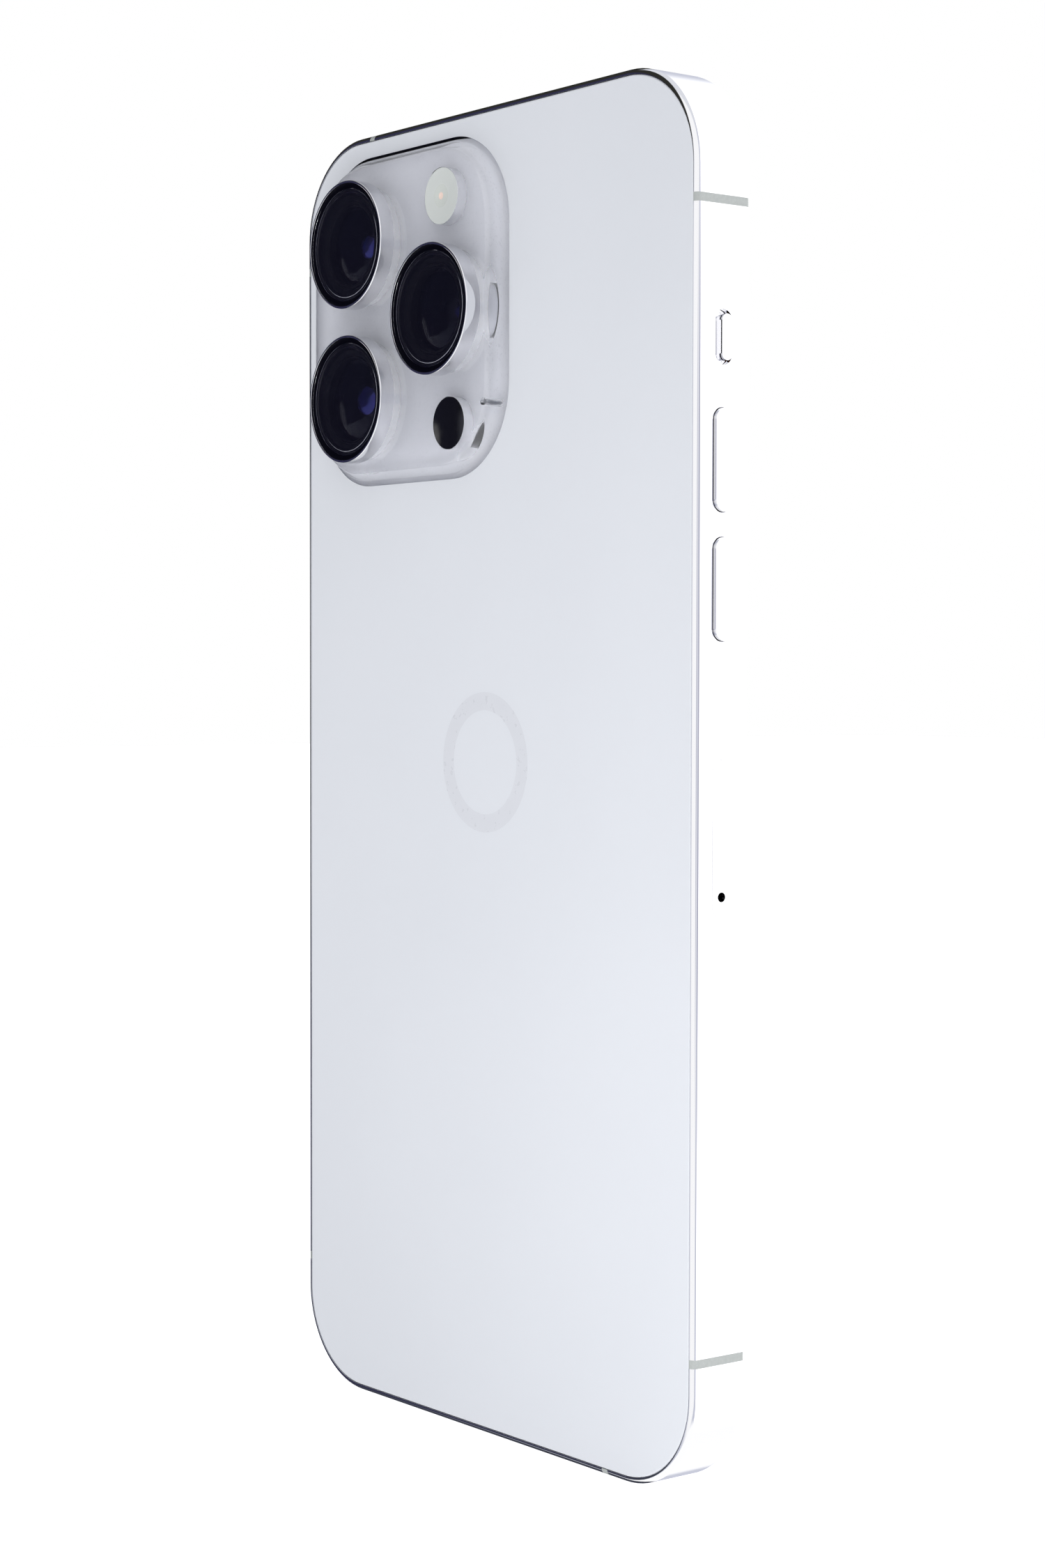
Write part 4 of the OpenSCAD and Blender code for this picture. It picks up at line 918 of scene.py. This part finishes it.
led = turn([(0, -SHEET_T - 0.02 * MM), (1.3 * MM, -SHEET_T - 0.02 * MM), (1.3 * MM, -SHEET_T + 0.1 * MM),
            (0, -SHEET_T + 0.1 * MM)], 64)
piece("flash_led", led, [phosphor], place=flash_place)

sensor_r = extent("depth_window").x / 2
window = turn([(0, -SHEET_T), (sensor_r, -SHEET_T), (sensor_r, BLOCK_RISE), (0, BLOCK_RISE)], 96)
window = piece("depth_sensor_window", soften(window, 0.06 * MM, 3), [ink],
               place=lathe_place("depth_window"))
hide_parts("depth_window")
print("flash radius in mm:", round(flash_r / MM, 2), " sensor radius in mm:", round(sensor_r / MM, 2))

# %% [markdown]
# ## Keys and switch
# A key is a pill with a wider flange behind the wall, so that it can't fall out. The cap's outer
# edge is rounded like a pebble, and the opening round it flares a little, which together draw a
# thin soft line. The
# ring switch is a narrower cap in a slot; a strip of orange paint beside it shows only when the
# switch is slid towards the back.

# %% Keys
KEY_EDGE = 0.32 * MM
PROUD = 0.4 * MM


def key(name, side, width, height, proud, low, high, body):
    """A pill-shaped cap on a flange. low and high are the flange's faces, from the phone's middle."""
    flange_w, flange_h = width + FLANGE_LIP, height + FLANGE_REACH
    top = WIDTH / 2 + proud
    bm, rings = loft([pill(flange_w, flange_h, low), pill(flange_w, flange_h, high),
                      pill(width, height, high), pill(width, height, top)], 14)
    round_off(bm, rim_at(bm, top), KEY_EDGE, 5)
    made = piece(name, bm, [steel], body=body,
                 place=put(side, 0, middle(body).y, middle(body).z))
    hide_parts(body)
    return made


flange_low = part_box("volume_up")[0].x
FLANGE_T = 0.6 * MM
for key_name in ("volume_up", "volume_down"):
    key(key_name + "_key", "right", key_w, volume_len, PROUD, flange_low, flange_low + FLANGE_T, key_name)
key("side_key", "left", key_w, side_len, PROUD, flange_low, flange_low + FLANGE_T, "side_button")
print("keys in mm:", round(volume_len / MM, 1), round(side_len / MM, 1))

# %% Ring switch
orange = finish("orange_paint", (0.90, 0.20, 0.02), 0.45)
tint(orange, grain(orange, 0.3, 3), (0.86, 0.17, 0.015), (0.95, 0.25, 0.03))
SWITCH_CAP_LEN = SWITCH_SLOT[1] - SWITCH_SLOT[0] + SWITCH_CAP_W
switch_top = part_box("ring_switch")[1].x
slider_face = WIDTH / 2 - SWITCH_WALL - BUTTON_GAP
switch_place = put("right", 0, middle("ring_switch").y, middle("ring_switch").z)
PIN = (1.2 * MM, 0.8 * MM, 0.1 * MM)
SLIDER_R = 0.8 * MM
slider, rings = loft([(*PIN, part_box("ring_switch")[0].x), (*PIN, slider_face - FLANGE_T),
                      (*SLIDER, SLIDER_R, slider_face - FLANGE_T), (*SLIDER, SLIDER_R, slider_face),
                      pill(SWITCH_CAP_W, SWITCH_CAP_LEN, slider_face),
                      pill(SWITCH_CAP_W, SWITCH_CAP_LEN, switch_top)], 12)
round_off(slider, rim_at(slider, switch_top), 0.25 * MM, 4)
slider = piece("ring_switch_slider", slider, [steel], body="ring_switch",
               place=switch_place)
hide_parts("ring_switch")
paint = (0.5 * MM, 5.6 * MM, 0.2 * MM)
strip, _ = loft([(*paint, slider_face), (*paint, slider_face + 0.04 * MM)], 6)
bmesh.ops.translate(strip, verts=strip.verts, vec=(SWITCH_CAP_W / 2 + 0.28 * MM, 0, 0))
piece("switch_orange_strip", strip, [orange], body="ring_switch", place=switch_place)
print("switch cap in mm:", round(SWITCH_CAP_W / MM, 2), round(SWITCH_CAP_LEN / MM, 2))

# %% [markdown]
# ## Front
# The front glass is clear. Behind it lies the display panel, almost black when it is off, with a
# printed black border round it and a pill-shaped island for the front camera and its sensors.

# %% Front glass and border
FRONT_T = 0.7 * MM
panel_in = (WIDTH - extent("display_panel").x) / 2
front_glass, rings = loft([outline(panel_in, -THICK + FRONT_T), outline(sheet_in, -THICK + FRONT_T),
                           outline(sheet_in, -THICK)], CORNER_STEPS)
round_off(front_glass, rings[2], 0.3 * MM, 5)
for face in front_glass.faces:
    if face.normal.z > 0.9 and len(face.verts) == 4:
        face.material_index = 1
front_glass = piece("screen_glass", front_glass, [cover_glass, ink], place=ON_BACK)
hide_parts("front_glass")
SLOT_W, SLOT_H = 12.6 * MM, 0.75 * MM
slot_top = HEIGHT / 2 - sheet_in
slot_tool = bmesh.new()
slot_spot = Matrix.Translation((0, slot_top - SLOT_H / 2 + 0.5 * MM, -THICK))
slot_size = Matrix.Diagonal((SLOT_W, SLOT_H + 1 * MM, 4 * MM, 1))
bmesh.ops.create_cube(slot_tool, size=1, matrix=slot_spot @ slot_size)
carve(front_glass, slot_tool, place=ON_BACK)
print("screen border in mm:", round((panel_in - sheet_in) / MM, 2))

# %% [markdown]
# ## Finishes for the parts inside
# Nothing inside shows while the phone is closed, but each part has the surface it would have on a
# bench: printed circuit, copper winding, ferrite, tinned cans, orange flexible ribbon. One table
# gives each part its finish.

# %% Inside finishes
tin = finish("stamped_tin", (0.55, 0.56, 0.58), 0.34, 1.0)
vary_roughness(tin, grain(tin, 0.4, 4, (1, 1, 5)), 0.26, 0.42)
relief(tin, grain(tin, 0.25, 3), 0.002, 0.4)
black_plastic = finish("black_plastic", (0.022, 0.022, 0.025), 0.5)
tint(black_plastic, grain(black_plastic, 1.2, 3), (0.018, 0.018, 0.02), (0.03, 0.03, 0.034))
relief(black_plastic, grain(black_plastic, 0.12, 2), 0.004, 0.5)
glue = finish("black_glue", (0.012, 0.012, 0.013), 0.7)
relief(glue, grain(glue, 0.4, 3), 0.02, 0.6)
panel_black = finish("panel_black", (0.006, 0.007, 0.010), 0.18)
vary_roughness(panel_black, grain(panel_black, 6.0, 2), 0.14, 0.22)
battery_wrap = finish("battery_wrap", (0.025, 0.025, 0.028), 0.45)
tint(battery_wrap, grain(battery_wrap, 8, 3), (0.02, 0.02, 0.023), (0.04, 0.04, 0.045))
relief(battery_wrap, grain(battery_wrap, 2.5, 4), 0.03, 0.5)
ribbon = finish("flex_ribbon", (0.20, 0.09, 0.02), 0.4)
tint(ribbon, grain(ribbon, 0.5, 2, (1, 0.1, 0.1)), (0.15, 0.06, 0.015), (0.36, 0.18, 0.05))
board = finish("circuit_board", (0.02, 0.05, 0.09), 0.4)
tint(board, grain(board, 0.8, 4), (0.012, 0.03, 0.06), (0.04, 0.11, 0.15), 0.42, 0.58)
relief(board, grain(board, 0.5, 3), 0.02, 0.5)
copper = finish("copper_winding", (0.72, 0.33, 0.16), 0.28, 1.0)
ferrite = finish("ferrite", (0.035, 0.035, 0.04), 0.55)
relief(ferrite, grain(ferrite, 1.0, 3), 0.01, 0.5)
nickel = finish("nickel_magnet", (0.60, 0.58, 0.54), 0.22, 1.0)
vary_roughness(nickel, grain(nickel, 0.6, 3), 0.16, 0.32)
tungsten = finish("tungsten", (0.28, 0.28, 0.30), 0.4, 1.0)
relief(tungsten, grain(tungsten, 0.3, 4), 0.01, 0.6)
gold = finish("gold_contact", (0.83, 0.60, 0.24), 0.2, 1.0)
vary_roughness(gold, grain(gold, 0.2, 3), 0.14, 0.3)
card_white = finish("card_white", (0.80, 0.80, 0.77), 0.45)
tint(card_white, grain(card_white, 3, 3), (0.78, 0.78, 0.75), (0.84, 0.84, 0.81))
print("inside finishes ready")

# %% [markdown]
# Two inside surfaces are patterns rather than grain: the copper winding is hundreds of fine turns
# round the coil's middle, and sound mesh is a weave. Rings come from the distance to the coil's
# axis; a weave comes from two crossed sets of bands.

# %% Winding and mesh
place = node(copper, "ShaderNodeTexCoord").outputs["Object"]
centred = node(copper, "ShaderNodeMapping")
centred.inputs["Location"].default_value = -middle("charging_coil")
wire(copper, place, centred.inputs["Vector"])
turns = node(copper, "ShaderNodeTexWave", wave_type="RINGS", rings_direction="Y")
turns.inputs["Scale"].default_value = 1 / (0.35 * MM) / math.tau
wire(copper, centred.outputs["Vector"], turns.inputs["Vector"])
tint(copper, turns.outputs["Fac"], (0.42, 0.16, 0.07), (0.85, 0.42, 0.22), 0.1, 0.9)
relief(copper, turns.outputs["Fac"], 0.05, 0.8)

mesh_cloth = finish("sound_mesh", (0.03, 0.03, 0.032), 0.5, 0.5)
bands = []
for direction in ("X", "Y"):
    weave = node(mesh_cloth, "ShaderNodeTexWave", wave_type="BANDS", bands_direction=direction)
    weave.inputs["Scale"].default_value = 1 / (0.12 * MM) / math.tau
    wire(mesh_cloth, node(mesh_cloth, "ShaderNodeTexCoord").outputs["Object"], weave.inputs["Vector"])
    bands.append(weave.outputs["Fac"])
crossed = node(mesh_cloth, "ShaderNodeMath", operation="MULTIPLY")
wire(mesh_cloth, bands[0], crossed.inputs[0])
wire(mesh_cloth, bands[1], crossed.inputs[1])
tint(mesh_cloth, crossed.outputs["Value"], (0.01, 0.01, 0.011), (0.10, 0.10, 0.105), 0.1, 0.8)
relief(mesh_cloth, crossed.outputs["Value"], 0.03, 0.8)
print("patterns: winding and mesh")

# %% Finish for each part that keeps its mesh
DRESS = {
    tin: ["mid_plate", "front_cans", "rear_cans", "motor_case", "sim_reader", "display_plate",
          "eject_plunger", "eject_lever", "charge_port", "rear_mic"],
    steel: ["bottom_screws", "board_screws", "sim_tray", "steel_band", "ring_tele", "ring_main", "ring_wide",
            "side_button", "volume_up", "volume_down", "ring_switch"],
    black_plastic: ["housing_tele", "housing_main", "housing_wide", "depth_sensor", "front_sensors",
                    "earpiece", "speaker_box"],
    anodised: ["barrel_tele", "barrel_main", "barrel_wide"],
    glue: ["back_glue", "front_gasket"],
    ink: ["cover_tele", "cover_main", "cover_wide", "depth_window", "front_glass"],
    mesh_cloth: ["speaker_mesh", "earpiece_mesh"],
    ribbon: ["battery_flex", "port_flex"],
    gold: ["flash_board", "port_contacts", "bottom_mic", "side_flex", "volume_flex"],
    nickel: ["magnet_ring", "alignment_magnet"],
    panel_black: ["display_panel"],
    battery_wrap: ["battery"],
    board: ["logic_board"],
    copper: ["charging_coil"],
    ferrite: ["coil_shield"],
    tungsten: ["vibration_mass"],
    card_white: ["sim_card"],
    frosted: ["back_glass"],
    mark_finish: ["back_emblem"],
    break_plastic: ["antenna_breaks"],
    clear_plastic: ["flash_window"],
}
for material, nodes_dressed in DRESS.items():
    for name in nodes_dressed:
        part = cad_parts[name]
        part.data.materials.clear()
        part.data.materials.append(material)
undressed = set(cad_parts) - {n for names in DRESS.values() for n in names}
print("parts left without a finish:", sorted(undressed))
